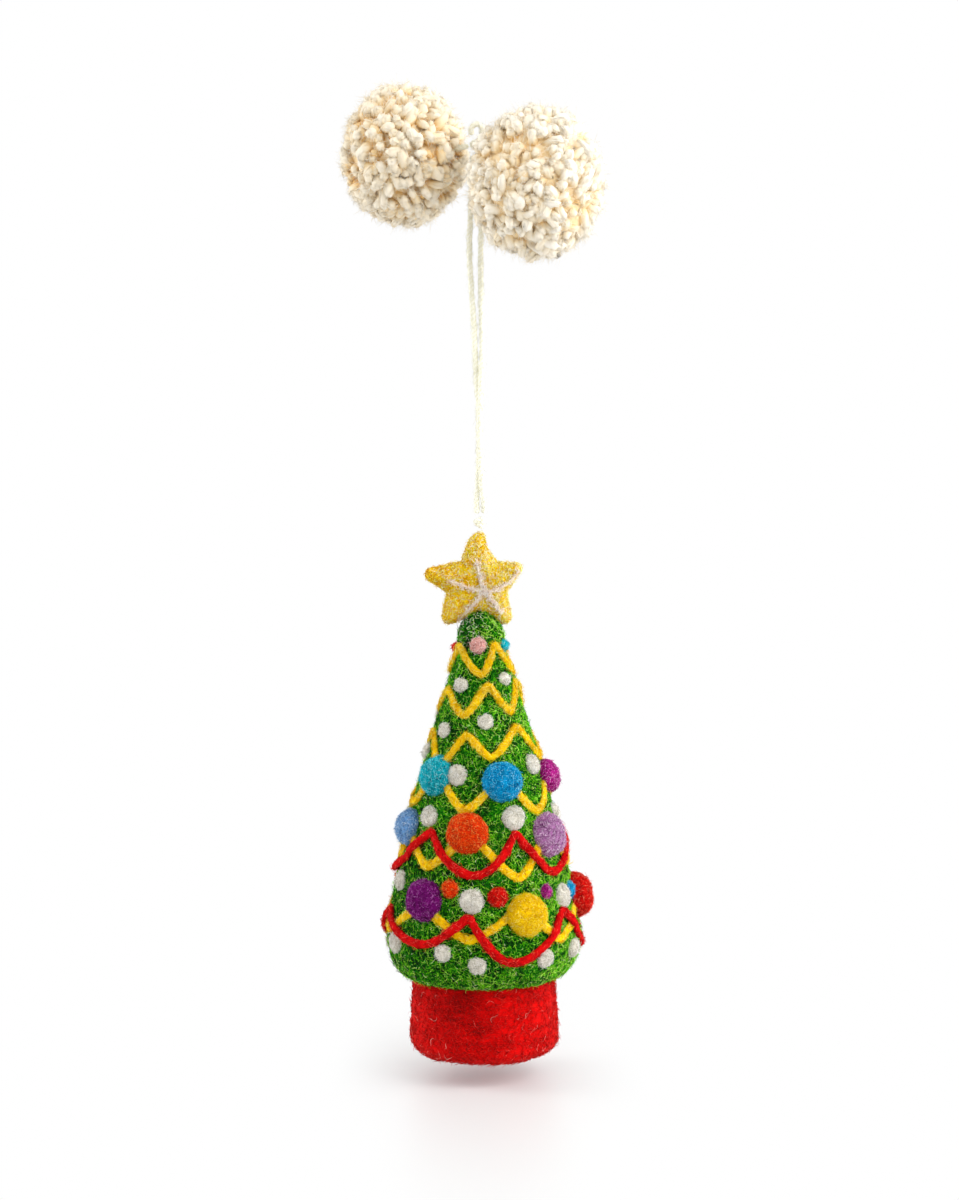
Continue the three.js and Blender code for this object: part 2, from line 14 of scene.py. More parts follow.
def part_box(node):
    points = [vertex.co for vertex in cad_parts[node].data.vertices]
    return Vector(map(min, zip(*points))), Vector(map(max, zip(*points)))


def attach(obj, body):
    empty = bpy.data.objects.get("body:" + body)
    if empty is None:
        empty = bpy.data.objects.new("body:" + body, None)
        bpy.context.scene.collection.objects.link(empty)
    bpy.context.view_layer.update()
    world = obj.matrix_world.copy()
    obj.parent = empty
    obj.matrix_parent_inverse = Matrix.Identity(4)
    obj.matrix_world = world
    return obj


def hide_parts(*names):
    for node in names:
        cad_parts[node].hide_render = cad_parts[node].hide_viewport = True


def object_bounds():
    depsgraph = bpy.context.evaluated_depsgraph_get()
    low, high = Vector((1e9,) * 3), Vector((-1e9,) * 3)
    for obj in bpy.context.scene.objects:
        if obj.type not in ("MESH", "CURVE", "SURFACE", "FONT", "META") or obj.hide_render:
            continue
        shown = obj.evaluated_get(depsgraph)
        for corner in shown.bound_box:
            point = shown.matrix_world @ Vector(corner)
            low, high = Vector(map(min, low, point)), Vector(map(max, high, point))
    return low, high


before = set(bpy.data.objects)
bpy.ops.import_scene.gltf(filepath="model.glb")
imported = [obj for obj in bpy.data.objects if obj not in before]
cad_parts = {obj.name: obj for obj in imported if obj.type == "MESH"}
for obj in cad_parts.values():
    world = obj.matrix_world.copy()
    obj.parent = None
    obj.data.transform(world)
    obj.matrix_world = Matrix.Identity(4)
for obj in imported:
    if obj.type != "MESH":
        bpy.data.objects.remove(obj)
cad_low, cad_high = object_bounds()

MM = 0.001
TURN = 2 * math.pi


# Camera: the photograph's distance, height, pitch and roll, in its frame of 959 by 1200 pixels

FRAME_HEIGHT_PX = 1200
FOCAL_PX = 3348.75
SENSOR = 36
CAMERA_PLACE = (-0.35 * MM, -800 * MM, -35.5 * MM)
CAMERA_PITCH = math.radians(5.5)
CAMERA_ROLL = math.radians(-0.5)


def add_camera():
    data = bpy.data.cameras.new("photo_camera")
    data.lens = FOCAL_PX * SENSOR / FRAME_HEIGHT_PX
    data.sensor_width = SENSOR
    camera = bpy.data.objects.new("photo_camera", data)
    level = Matrix.Rotation(math.pi / 2 - CAMERA_PITCH, 4, "X")
    rolled = Matrix.Rotation(CAMERA_ROLL, 4, "Z")
    camera.matrix_world = Matrix.Translation(CAMERA_PLACE) @ level @ rolled
    bpy.context.scene.collection.objects.link(camera)
    bpy.context.scene.camera = camera


add_camera()


# Vectors and smooth noise

def unit(vectors):
    lengths = np.linalg.norm(vectors, axis=-1, keepdims=True)
    return vectors / np.maximum(lengths, 1e-12)


def dot(a, b):
    return (a * b).sum(-1, keepdims=True)


def lattice(cells, seed):
    """A number from 0 to 1 for each whole-numbered cell."""
    x, y, z = (cells[..., axis].astype(np.int64) for axis in range(3))
    mixed = (x * 73856093) ^ (y * 19349663) ^ (z * 83492791) ^ (seed * 40503)
    mixed = (mixed ^ (mixed >> 13)) * 1274126177
    return ((mixed ^ (mixed >> 16)) & 0xFFFF) / 0xFFFF


def lumps(places, size, seed):
    """Smooth noise from -1 to 1, with lumps about that size."""
    scaled = places / size
    low = np.floor(scaled)
    share = scaled - low
    share = share * share * (3 - 2 * share)
    total = np.zeros(places.shape[:-1])
    for corner in np.ndindex(2, 2, 2):
        weight = np.prod(np.where(corner, share, 1 - share), axis=-1)
        total += weight * lattice(low + corner, seed)
    return 2 * total - 1


def layered(places, *layers, base=0.0):
    """Smooth noise of several sizes over a base. Each layer has a height, a size and a seed."""
    for height, size, seed in layers:
        base = base + height * lumps(places, size, seed)
    return base


def smooth_step(share):
    share = np.clip(share, 0, 1)
    return share * share * (3 - 2 * share)


# Meshes: solids and threads are gathered, and then made into one piece

MAP_MARGIN = 0.02
CELL_MARGIN = 0.1


def grid_faces(rows, columns):
    """Quads between rows of columns points each, closed round the columns."""
    row, column = np.meshgrid(np.arange(rows - 1), np.arange(columns), indexing="ij")
    after = (column + 1) % columns
    corners = [row * columns + column, row * columns + after]
    corners += [corner + columns for corner in (corners[1], corners[0])]
    return np.stack(corners, axis=-1).reshape(-1, 4)


def grid_map(rows, columns):
    """Where each corner of grid_faces lies on a map that runs from 0 to 1."""
    row, column = np.meshgrid(np.arange(rows - 1), np.arange(columns), indexing="ij")
    ups = np.stack([row, row, row + 1, row + 1], axis=-1) / (rows - 1)
    acrosses = np.stack([column, column + 1, column + 1, column], axis=-1) / columns
    return np.stack([acrosses, ups], axis=-1).reshape(-1, 4, 2)


class Gathered:
    """Parts of one piece: their places, faces, tones and places on the piece's map."""

    def __init__(self):
        self.places, self.faces, self.maps, self.tones, self.count = [], [], [], [], 0

    def add(self, places, face_sets, map_sets, tones, low=0.0, high=1.0):
        """A part whose map takes the heights from low to high of the piece's map."""
        self.places.append(places)
        self.tones.append(np.broadcast_to(tones, len(places)))
        for faces, spots in zip(face_sets, map_sets):
            self.faces.append(faces + self.count)
            self.maps.append(spots * (1, high - low) + (0, low))
        self.count += len(places)

    def piece(self, name, body, slot, *nodes):
        """The parts as one mesh of the slot's wool, which rides on a body in place of nodes."""
        name = f"{name}_wool"
        mesh = bpy.data.meshes.new(name)
        places = np.concatenate(self.places).astype(np.float32)
        corners = np.concatenate([faces.ravel() for faces in self.faces]).astype(np.int32)
        sizes = np.concatenate([np.full(len(f), f.shape[1]) for f in self.faces])
        spots = np.concatenate([m.reshape(-1, 2) for m in self.maps]).astype(np.float32)
        starts = np.concatenate([[0], np.cumsum(sizes)[:-1]]).astype(np.int32)
        mesh.vertices.add(len(places))
        mesh.vertices.foreach_set("co", places.ravel())
        mesh.loops.add(len(corners))
        mesh.loops.foreach_set("vertex_index", corners)
        mesh.polygons.add(len(sizes))
        mesh.polygons.foreach_set("loop_start", starts)
        mesh.polygons.foreach_set("use_smooth", np.ones(len(sizes), bool))
        mesh.update(calc_edges=True)
        tones = mesh.attributes.new("tone", "FLOAT", "POINT")
        tones.data.foreach_set("value", np.concatenate(self.tones).astype(np.float32))
        mesh.uv_layers.new(name="OFBake").uv.foreach_set("vector", spots.ravel())
        mesh.materials.append(wools[slot])
        piece = bpy.data.objects.new(name, mesh)
        bpy.context.scene.collection.objects.link(piece)
        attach(piece, body)
        if nodes:
            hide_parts(*nodes)
        return piece


def lathe(outline, columns):
    """A turned solid, from pole to pole, of an outline of (radius, height) points."""
    inner = outline[1:-1]
    angle = TURN * np.arange(columns) / columns
    rings = np.stack([
        inner[:, :1] * np.cos(angle), inner[:, :1] * np.sin(angle),
        np.repeat(inner[:, 1:], columns, axis=1),
    ], axis=-1).reshape(-1, 3)
    poles = np.array([[0, 0, outline[0, 1]], [0, 0, outline[-1, 1]]])
    return np.concatenate([rings, poles]), *closed_grid(len(inner), columns)


def closed_grid(rows, columns):
    """Faces and maps of a grid that two poles close. Rows run from the first pole down."""
    quads = grid_faces(rows, columns)[:, ::-1]
    spots = grid_map(rows, columns)[:, ::-1]
    column = np.arange(columns)
    after = (column + 1) % columns
    first, low = rows * columns, (rows - 1) * columns
    top = np.stack([np.full(columns, first), column, after], axis=-1)
    bottom = np.stack([np.full(columns, first + 1), low + after, low + column], axis=-1)
    share = np.stack([column + 0.5, column, column + 1], axis=-1) / columns
    thin = 0.5 / rows
    top_map = np.stack([share, np.broadcast_to([-thin, 0, 0], share.shape)], axis=-1)
    bottom_map = np.stack([
        share[:, [0, 2, 1]], np.broadcast_to([1 + thin, 1, 1], share.shape),
    ], axis=-1)
    maps = [MAP_MARGIN + (1 - 2 * MAP_MARGIN) * spots for spots in (spots, top_map, bottom_map)]
    return [quads, top, bottom], maps


def turned_over(face_sets, map_sets):
    """The same faces and maps, facing the other way."""
    return [faces[:, ::-1] for faces in face_sets], [spots[:, ::-1] for spots in map_sets]


def rim_places(line, across, upward, angle, width, height=None):
    """Places round a line, at angles and distances from it. An oval rim has its own height."""
    height = width if height is None else height
    places = line + across * (np.cos(angle) * width)[..., None]
    return places + upward * (np.sin(angle) * height)[..., None]


def triangles_of(face_sets):
    fans = [faces[:, [0, k, k + 1]] for faces in face_sets for k in range(1, faces.shape[1] - 1)]
    return np.concatenate(fans)


def vertex_normals(places, face_sets):
    triangles = triangles_of(face_sets)
    a, b, c = (places[triangles[:, corner]] for corner in range(3))
    facing = np.cross(b - a, c - a)
    total = np.zeros_like(places)
    for corner in range(3):
        np.add.at(total, triangles[:, corner], facing)
    return unit(total)


def scatter(places, face_sets, count, rng):
    """Places spread evenly over a surface, with its normals there."""
    triangles = triangles_of(face_sets)
    normals = vertex_normals(places, face_sets)
    a, b, c = (places[triangles[:, corner]] for corner in range(3))
    area = np.linalg.norm(np.cross(b - a, c - a), axis=-1)
    chosen = rng.choice(len(triangles), count, p=area / area.sum())
    u, v = rng.random((2, count))
    over = u + v > 1
    u, v = np.where(over, 1 - u, u), np.where(over, 1 - v, v)
    weights = np.stack([1 - u - v, u, v], axis=-1)[..., None]
    roots = (places[triangles[chosen]] * weights).sum(1)
    return roots, unit((normals[triangles[chosen]] * weights).sum(1))


def threads(paths, radii, rng, sides=3, plies=0, turns=0.0, relief=0.0):
    """Closed threads along many paths at once, each from a point to a point.

    paths has the points of each, and radii the half-width at each point between its ends.
    Plied ones have that many lobes, of that relief, that turn so often along them.
    """
    count, length = paths.shape[:2]
    rings = length - 2
    along = unit(paths[:, 2:] - paths[:, :-2])
    across = unit(np.cross(along, unit(rng.normal(size=(count, 1, 3)))))
    upward = np.cross(along, across)
    angle = TURN * np.arange(sides) / sides
    twist = TURN * turns * np.linspace(0, 1, rings)[:, None]
    width = radii[:, :, None] * (1 + relief * np.cos(plies * (angle - twist)))
    rim = rim_places(
        paths[:, 1:-1, None], across[:, :, None], upward[:, :, None], angle, width,
    )
    places = np.concatenate([rim.reshape(count, -1, 3), paths[:, :1], paths[:, -1:]], axis=1)
    face_sets, map_sets = turned_over(*closed_grid(rings, sides))
    cells = math.ceil(math.sqrt(count))
    number = np.arange(count)[:, None, None]
    corner = np.stack([number % cells, number // cells], axis=-1)
    all_faces = [
        (faces + places.shape[1] * number).reshape(-1, faces.shape[1]) for faces in face_sets
    ]
    all_maps = [
        ((CELL_MARGIN + (1 - 2 * CELL_MARGIN) * spots + corner) / cells).reshape(
            -1, spots.shape[1], 2,
        ) for spots in map_sets
    ]
    return places.reshape(-1, 3), all_faces, all_maps


# Fibres. A spread is the least and the most of a length or width that one fibre can have

LENGTH_SPREAD, WIDTH_SPREAD = (0.55, 1.45), (0.7, 1.3)
ARCH_SPREAD, STRAY_SPREAD = (0.2, 1), (0.3, 1)
STRAY_BEND = 1.3
SWAY_TURNS = 0.8
FIBRE_SINK = 0.06 * MM
LOOSE_RADIUS = 0.035 * MM
SHORT_SHARE = 0.72
SHORT_RADIUS, LONG_RADIUS = 0.095 * MM, 0.06 * MM
SHORT_FELTING = {
    "length": 1.2 * MM, "rise": 0.34 * MM, "curl": 0.12, "stray": 0.34, "stray_rise": 0.7 * MM,
    "points": 3,
}
LONG_FELTING = {
    "length": 2.4 * MM, "rise": 0.5 * MM, "curl": 0.3, "stray": 0.34, "stray_rise": 1.25 * MM,
    "points": 5,
}
# Tones of the pale fibres that paint glints, painted highlights
PAINTED_GLINT_TONES = (0.95, 1.15)


def felt_paths(roots, normals, rng, length, rise, curl, stray, stray_rise, along=None, grip=0.0,
               points=4):
    """Short fibres over a felt: most arch along it, and the stray ones stand off it."""
    count = len(roots)
    way = rng.normal(size=(count, 3))
    if along is not None:
        way = grip * along + (1 - grip) * way
    tangent = unit(way - normals * dot(way, normals))
    side = np.cross(normals, tangent)
    span = (length * rng.uniform(*LENGTH_SPREAD, count))[:, None]
    share = np.linspace(-0.5, 0.5, points)
    arch = (1 - (2 * share) ** 2) * rise * rng.uniform(*ARCH_SPREAD, (count, 1))
    free = (share + 0.5) ** STRAY_BEND * stray_rise * rng.uniform(*STRAY_SPREAD, (count, 1))
    height = np.where(rng.random((count, 1)) < stray, free, arch) - FIBRE_SINK
    sway = curl * span * np.sin(TURN * share * SWAY_TURNS + rng.uniform(0, TURN, (count, 1)))
    place = roots[:, None] + tangent[:, None] * (span * share)[..., None]
    return place + side[:, None] * sway[..., None] + normals[:, None] * height[..., None]


def fibre_radii(paths, radius, rng):
    """Half-widths of fibres: thinner towards the ends, and not all alike."""
    rings = paths.shape[1] - 2
    share = np.sin(np.pi * (np.arange(rings) + 1) / (rings + 1)) ** 0.5
    return radius * share * rng.uniform(*WIDTH_SPREAD, (len(paths), 1))


def add_coat(gathered, roots, normals, rng, radius, tones, low, high, **felting):
    paths = felt_paths(roots, normals, rng, **felting)
    made = threads(paths, fibre_radii(paths, radius, rng), rng)
    gathered.add(*made, np.repeat(tones, len(made[0]) // len(paths)), low, high)


def felt_coat(gathered, roots, facing, rng, tones, low=0.0, high=1.0, scale=1.0, fuzz=1.0,
              fine=1.0, short_share=SHORT_SHARE, along=None, grip=0.0):
    """A felt's fibres: short ones that give it its grain, and longer curly ones over them."""
    middle = low + short_share * (high - low)
    short = rng.random(len(roots)) < short_share
    for chosen, radius, start, end, felting in (
        (short, SHORT_RADIUS, low, middle, SHORT_FELTING),
        (~short, LONG_RADIUS, middle, high, LONG_FELTING),
    ):
        sized = {"length": scale * felting["length"], "stray_rise": fuzz * felting["stray_rise"]}
        way = None if along is None else along[chosen]
        add_coat(
            gathered, roots[chosen], facing[chosen], rng, fine * radius, tones[chosen], start, end,
            along=way, grip=grip, **{**felting, **sized},
        )


def fibre_tones(count, rng, middle=0.5, spread=0.26, painted_glints=0.07):
    """Tones of fibres: most near the middle one, and a few pale ones that are painted glints."""
    tones = rng.normal(middle, spread, count)
    return np.where(rng.random(count) < painted_glints, rng.uniform(*PAINTED_GLINT_TONES, count), tones)


# Materials

def set_inputs(tree, node, inputs):
    """Sets a node's inputs, by name or number, to values or to other nodes' outputs."""
    for name, value in inputs.items():
        if isinstance(value, bpy.types.NodeSocket):
            tree.links.new(value, node.inputs[name])
        else:
            node.inputs[name].default_value = value


def add_node(tree, kind, inputs, output=0, **settings):
    """Adds a shader node and gives the output that others take from it."""
    node = tree.nodes.new(f"ShaderNode{kind}")
    for name, value in settings.items():
        setattr(node, name, value)
    set_inputs(tree, node, inputs)
    return node.outputs[output]


def linear(colour):
    """An sRGB colour from 0 to 255 as the linear one that a shader takes."""
    shares = [level / 255 for level in colour]
    bent = [s / 12.92 if s <= 0.04045 else ((s + 0.055) / 1.055) ** 2.4 for s in shares]
    return (*bent, 1)


WOOL_SURFACE = {"Roughness": 0.9, "Specular IOR Level": 0.08, "Sheen Roughness": 0.4}
WOOL_GRAIN = {"Detail": 3, "Roughness": 0.65}
BUMP_STRENGTH = 0.7


def wool(name, colours, grain=0.35 * MM, spread=0.4, bump=0.08 * MM, sheen=0.1,
         streak=(1, 1, 1)):
    """Wool of colours from its darkest to its lightest. The tone of each thread picks the
    colour, a fine grain varies it, and the same grain is the bump."""
    material = bpy.data.materials.new(name)
    material.use_nodes = True
    tree = material.node_tree
    place = add_node(tree, "TexCoord", {}, "Object")
    stretched = add_node(tree, "Mapping", {"Vector": place, "Scale": streak})
    fine = add_node(tree, "TexNoise", {"Vector": stretched, "Scale": 1 / grain, **WOOL_GRAIN})
    offset = {0: fine, 1: 2 * spread, 2: -spread}
    offset = add_node(tree, "Math", offset, operation="MULTIPLY_ADD")
    tone = add_node(tree, "Attribute", {}, "Fac", attribute_name="tone")
    both = add_node(tree, "Math", {0: tone, 1: offset}, operation="ADD")
    ramp = add_node(tree, "ValToRGB", {"Fac": both})
    stops = ramp.node.color_ramp.elements
    while len(stops) < len(colours):
        stops.new(0.5)
    for index, colour in enumerate(colours):
        stops[index].position = index / (len(colours) - 1)
        stops[index].color = linear(colour)
    raised = {"Height": fine, "Distance": bump, "Strength": BUMP_STRENGTH}
    set_inputs(tree, tree.nodes["Principled BSDF"], {
        "Base Color": ramp, "Normal": add_node(tree, "Bump", raised), "Sheen Weight": sheen,
        "Sheen Tint": linear(colours[-1]), **WOOL_SURFACE,
    })
    return material


COLOURS = {
    "yarn": [(230, 226, 196), (246, 244, 224), (252, 251, 242)],
    "pompom_yarn": [
        (230, 188, 122), (239, 214, 168), (243, 228, 199), (246, 236, 216), (249, 243, 230),
    ],
    "star_felt": [(220, 146, 0), (252, 211, 0), (255, 238, 18), (255, 248, 108), (255, 252, 226)],
    "star_thread": [(244, 206, 176), (252, 238, 222), (255, 251, 246)],
    "green_felt": [
        (0, 22, 0), (4, 84, 0), (46, 178, 2), (140, 240, 4), (218, 252, 116), (252, 254, 236),
    ],
    "pot_red_felt": [(120, 0, 0), (196, 0, 0), (228, 2, 2), (246, 50, 36), (255, 206, 192)],
    "red_roving": [(110, 0, 2), (188, 0, 4), (224, 12, 10), (250, 96, 80)],
    "yellow_roving": [(196, 118, 0), (243, 192, 0), (253, 220, 10), (255, 246, 130)],
    "turquoise_felt": [(0, 94, 110), (0, 178, 196), (34, 216, 228), (184, 248, 250)],
    "blue_felt": [(0, 66, 112), (0, 150, 208), (16, 190, 236), (150, 232, 252)],
    "magenta_felt": [(84, 0, 60), (180, 26, 136), (216, 66, 176), (250, 184, 234)],
    "light_blue_felt": [(44, 84, 140), (110, 160, 212), (158, 202, 234), (230, 242, 252)],
    "orange_felt": [(156, 14, 0), (236, 56, 2), (250, 100, 10), (255, 184, 100)],
    "lavender_felt": [(80, 32, 74), (176, 114, 170), (220, 172, 214), (252, 236, 250)],
    "purple_felt": [(46, 0, 42), (118, 8, 108), (150, 30, 142), (212, 130, 206)],
    "yellow_felt": [(198, 136, 0), (246, 206, 0), (255, 228, 10), (255, 246, 130)],
    "red_felt": [(124, 0, 0), (216, 6, 2), (240, 30, 14), (255, 136, 108)],
    "white_felt": [(158, 152, 130), (234, 229, 217), (249, 246, 239), (254, 253, 250)],
    "pink_felt": [(150, 74, 70), (230, 170, 160), (246, 208, 200), (254, 242, 238)],
    "core_wool": [(190, 180, 160), (222, 214, 196), (240, 234, 220)],
}
FINISHES = {
    "yarn": {"bump": 0.04 * MM},
    "pompom_yarn": {"grain": 0.6 * MM, "spread": 0.08, "bump": 0.03 * MM},
    "green_felt": {"sheen": 0.05},
    "pot_red_felt": {"grain": 0.5 * MM, "streak": (1, 1, 3)},
}
wools = {slot: wool(slot, COLOURS[slot], **FINISHES.get(slot, {})) for slot in COLOURS}


# The cone: a tip, a flank that bends through two places, and a round rim

cone_low, cone_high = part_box("cone_felt")
CONE_HEIGHT = 89.9 * MM
CONE_TOP = cone_low.z + CONE_HEIGHT
CONE_RADIUS = cone_high.x
TIP_RADIUS, TIP_DEPTH = 5.9 * MM, 9.5 * MM
TIP_DULL = 0.8 * MM
RIM_INSET, RIM_DEPTH = 5.8 * MM, 10.2 * MM
FLANK_UPPER_SHARES = (0.28, 0.2)
FLANK_LOWER_SHARES = (0.75, 0.45)
TIP_STEPS, FLANK_STEPS, RIM_STEPS = 12, 170, 30
POT_RADIUS = 17.6 * MM
FIBRE_DEPTH_MM = 0.25
CONE_LUMPS = [(0.3, 7 * MM, 1), (0.16, 2.6 * MM, 2), (0.08, 1.1 * MM, 3)]


def bezier(corners, share):
    """Places on the curve that control points give, at shares of the way along it."""
    corners = [np.asarray(corner) for corner in corners]
    while len(corners) > 1:
        corners = [a + (b - a) * share for a, b in zip(corners, corners[1:])]
    return corners[0]


def cone_outline():
    """(radius, depth) from the tip down to the underside's edge."""
    quarter = np.linspace(0, math.pi / 2, TIP_STEPS)
    tip_depth = TIP_DULL + (TIP_DEPTH - TIP_DULL) * (1 - np.cos(quarter))
    tip = np.stack([TIP_RADIUS * np.sin(quarter), tip_depth], axis=-1)
    size = np.array([CONE_RADIUS, CONE_HEIGHT])
    rim_top = CONE_HEIGHT - RIM_DEPTH
    flank = bezier([
        (TIP_RADIUS, TIP_DEPTH), FLANK_UPPER_SHARES * size, FLANK_LOWER_SHARES * size,
        (CONE_RADIUS, rim_top),
    ], np.linspace(0, 1, FLANK_STEPS)[:, None])
    quarter = np.linspace(0, math.pi / 2, RIM_STEPS)
    rim = np.stack([
        CONE_RADIUS - RIM_INSET * (1 - np.cos(quarter)), rim_top + RIM_DEPTH * np.sin(quarter),
    ], axis=-1)
    return np.concatenate([tip, flank[1:], rim[1:]])


outline = cone_outline()
outline_slope = np.gradient(outline[:, 0], outline[:, 1])


def felt_swell(places):
    """How far the needled felt stands out of its even form, less what its fibres add."""
    return (layered(places, *CONE_LUMPS) - FIBRE_DEPTH_MM) * MM


def on_cone(angle, share):
    """Places on the cone's felt and normals, at angles in degrees and shares of its height."""
    angle, share = np.broadcast_arrays(np.radians(angle), share)
    depth = share * CONE_HEIGHT
    radius = np.interp(depth, outline[:, 1], outline[:, 0])
    slope = np.interp(depth, outline[:, 1], outline_slope)
    out = np.stack([np.sin(angle), -np.cos(angle), np.zeros_like(angle)], axis=-1)
    place = out * radius[..., None]
    place[..., 2] = CONE_TOP - depth
    normal = out.copy()
    normal[..., 2] = slope
    normal = unit(normal)
    return place + normal * felt_swell(place)[..., None], normal


# Garlands of roving: turning points as angles from the front and shares of the cone's height

YELLOW_WIDTHS = [1.6 * MM, 1.6 * MM, 1.7 * MM, 1.8 * MM, 2.0 * MM, 2.0 * MM]
YELLOW_HEIGHT = 1.0 * MM
RED_WIDTH, RED_HEIGHT = 2.0 * MM, 1.4 * MM
YELLOW_TURN_SHARES = [
    [(-62, 0.106), (1, 0.178), (33, 0.102), (84, 0.18), (132, 0.102), (180, 0.18), (226, 0.102),
     (264, 0.175)],
    [(-64, 0.222), (-25, 0.284), (11, 0.206), (41, 0.276), (76, 0.202), (116, 0.278), (152, 0.206),
     (188, 0.282), (224, 0.208), (260, 0.279)],
    [(-76, 0.334), (-46, 0.416), (-18, 0.333), (9, 0.39), (45, 0.318), (83, 0.406), (122, 0.33),
     (160, 0.396), (200, 0.32), (242, 0.394)],
    [(-43, 0.442), (-15, 0.526), (17, 0.448), (50, 0.537), (78, 0.464), (115, 0.524), (152, 0.454),
     (190, 0.524), (230, 0.454), (276, 0.53)],
    [(-66, 0.604), (-42, 0.676), (-9, 0.594), (24, 0.702), (54, 0.598), (86, 0.69), (120, 0.604),
     (156, 0.696), (192, 0.604), (222, 0.694), (248, 0.606), (272, 0.688)],
    [(-40, 0.781), (-9, 0.858), (25.5, 0.782), (52, 0.875), (84, 0.791), (115, 0.868),
     (145, 0.786), (175, 0.868), (205, 0.786), (233, 0.868), (258, 0.796), (281, 0.862)],
]
RED_TURN_SHARES = [
    [(-42, 0.583), (-6, 0.691), (25, 0.583), (55.5, 0.698), (90, 0.594), (128, 0.702),
     (166, 0.594), (202, 0.704), (232, 0.594), (263, 0.708)],
    [(-81, 0.806), (-41, 0.877), (-9, 0.797), (17, 0.918), (57.5, 0.798), (91, 0.912),
     (125, 0.806), (158, 0.908), (190, 0.806), (220, 0.908), (244, 0.806), (262, 0.884)],
]
STEPS_PER_RUN = 34
SMOOTHINGS = 3
GARLAND_SIDES = 14
GARLAND_RAISED = 0.3 * MM
RED_RAISED = 0.15 * MM
CROSSING_LIFT = 0.8 * MM
ROVING_LUMPS, ROVING_LUMP_SIZE, ROVING_JITTER = 0.16, 2.4 * MM, 0.05
GROOVE_DEPTH, GROOVE_STEP, GROOVE_REACH = 0.07, 0.04, 2.2
ROVING_PATCHES = (0.25, 1.2 * MM)
ROVING_TONE, ROVING_FIBRE_TONE = 0.4, 0.56
ROVING_MAP_SHARE, ROVING_EDGE = 0.3, -0.25


def garland_line(turns, hung):
    """Places and normals along a garland. A hung one has round valleys and sharp peaks."""
    share = np.arange(STEPS_PER_RUN) / STEPS_PER_RUN
    angles, depths = [], []
    for index, (angle, depth) in enumerate(turns):
        next_angle, next_depth = turns[(index + 1) % len(turns)]
        next_angle += 360 if index == len(turns) - 1 else 0
        falling = next_depth > depth
        if hung:
            eased = np.sin(share * math.pi / 2) if falling else 1 - np.cos(share * math.pi / 2)
        else:
            eased = 0.5 * share + 0.25 * (1 - np.cos(share * math.pi))
        angles.append(angle + (next_angle - angle) * share)
        depths.append(depth + (next_depth - depth) * eased)
    angle, depth = np.concatenate(angles), np.concatenate(depths)
    for _ in range(SMOOTHINGS):
        depth = (np.roll(depth, 1) + 2 * depth + np.roll(depth, -1)) / 4
    return on_cone(angle, depth)


def crossing_lift(places, others, reach):
    """How far a garland rises where it rides over another one."""
    near = np.min(np.linalg.norm(places[:, None] - others[None, ::3], axis=-1), axis=1)
    raw = CROSSING_LIFT * smooth_step(2 - near / reach)
    return (np.roll(raw, 2) + raw + np.roll(raw, -2)) / 3


def add_garland(name, line, width, height, lift, slot, seed, density, fuzz):
    """A flat oval band of roving, with its own brushed fibres."""
    rng = np.random.default_rng(seed)
    places, normals = line
    count = len(places)
    along = unit(np.roll(places, -1, axis=0) - np.roll(places, 1, axis=0))
    across = unit(np.cross(along, normals))
    angle = TURN * np.arange(GARLAND_SIDES) / GARLAND_SIDES
    uneven = 1 + ROVING_LUMPS * lumps(places, ROVING_LUMP_SIZE, seed)[:, None]
    uneven = uneven + ROVING_JITTER * rng.normal(size=(count, 1))
    spun = np.stack(np.broadcast_arrays(
        GROOVE_STEP * np.arange(count)[:, None], GROOVE_REACH * np.cos(angle),
        GROOVE_REACH * np.sin(angle),
    ), axis=-1)
    groove = 1 + GROOVE_DEPTH * lumps(spun, 1, seed + 1)
    middle = places + normals * (GARLAND_RAISED + lift[:, None])
    band = rim_places(
        middle[:, None], normals[:, None], across[:, None], angle, height / 2 * groove,
        width / 2 * uneven * groove,
    ).reshape(-1, 3)
    quads = grid_faces(count + 1, GARLAND_SIDES) % len(band)
    spots = grid_map(count + 1, GARLAND_SIDES)
    tones = layered(band, (*ROVING_PATCHES, seed + 2), base=ROVING_TONE)
    gathered = Gathered()
    gathered.add(band, [quads], [spots], tones, 0, ROVING_MAP_SHARE)
    roots, facing = scatter(band, [quads], int(density * count), rng)
    nearest = np.argmin(((roots[:, None, :] - places[None, ::6]) ** 2).sum(-1), axis=1) * 6
    outer = dot(facing, normals[nearest])[:, 0] > ROVING_EDGE
    roots, facing, nearest = roots[outer], facing[outer], nearest[outer]
    felt_coat(
        gathered, roots, facing, rng, fibre_tones(len(roots), rng, ROVING_FIBRE_TONE),
        ROVING_MAP_SHARE, 1, fuzz=fuzz, fine=0.85, along=along[nearest], grip=1 - fuzz,
    )
    gathered.piece(name, "tree", slot, name)


yellow_lines = [garland_line(turns, False) for turns in YELLOW_TURN_SHARES]
red_lines = [garland_line(turns, True) for turns in RED_TURN_SHARES]
yellow_places = np.concatenate([places for places, _ in yellow_lines])
red_places = np.concatenate([places for places, _ in red_lines])
for index, (line, width) in enumerate(zip(yellow_lines, YELLOW_WIDTHS)):
    add_garland(
        f"garland_yellow_{index + 1}", line, width, YELLOW_HEIGHT, np.zeros(len(line[0])),
        "yellow_roving", seed=100 + index, density=10.0, fuzz=0.5,
    )
for index, line in enumerate(red_lines):
    lift = crossing_lift(line[0], yellow_places, RED_WIDTH) + RED_RAISED
    add_garland(
        f"garland_red_{index + 1}", line, RED_WIDTH, RED_HEIGHT, lift, "red_roving",
        seed=120 + index, density=7.0, fuzz=0.25,
    )


# Felt balls and pellets, each half sunk in the cone: the angle from the front, the share of the
# cone's height and the diameter in millimetres

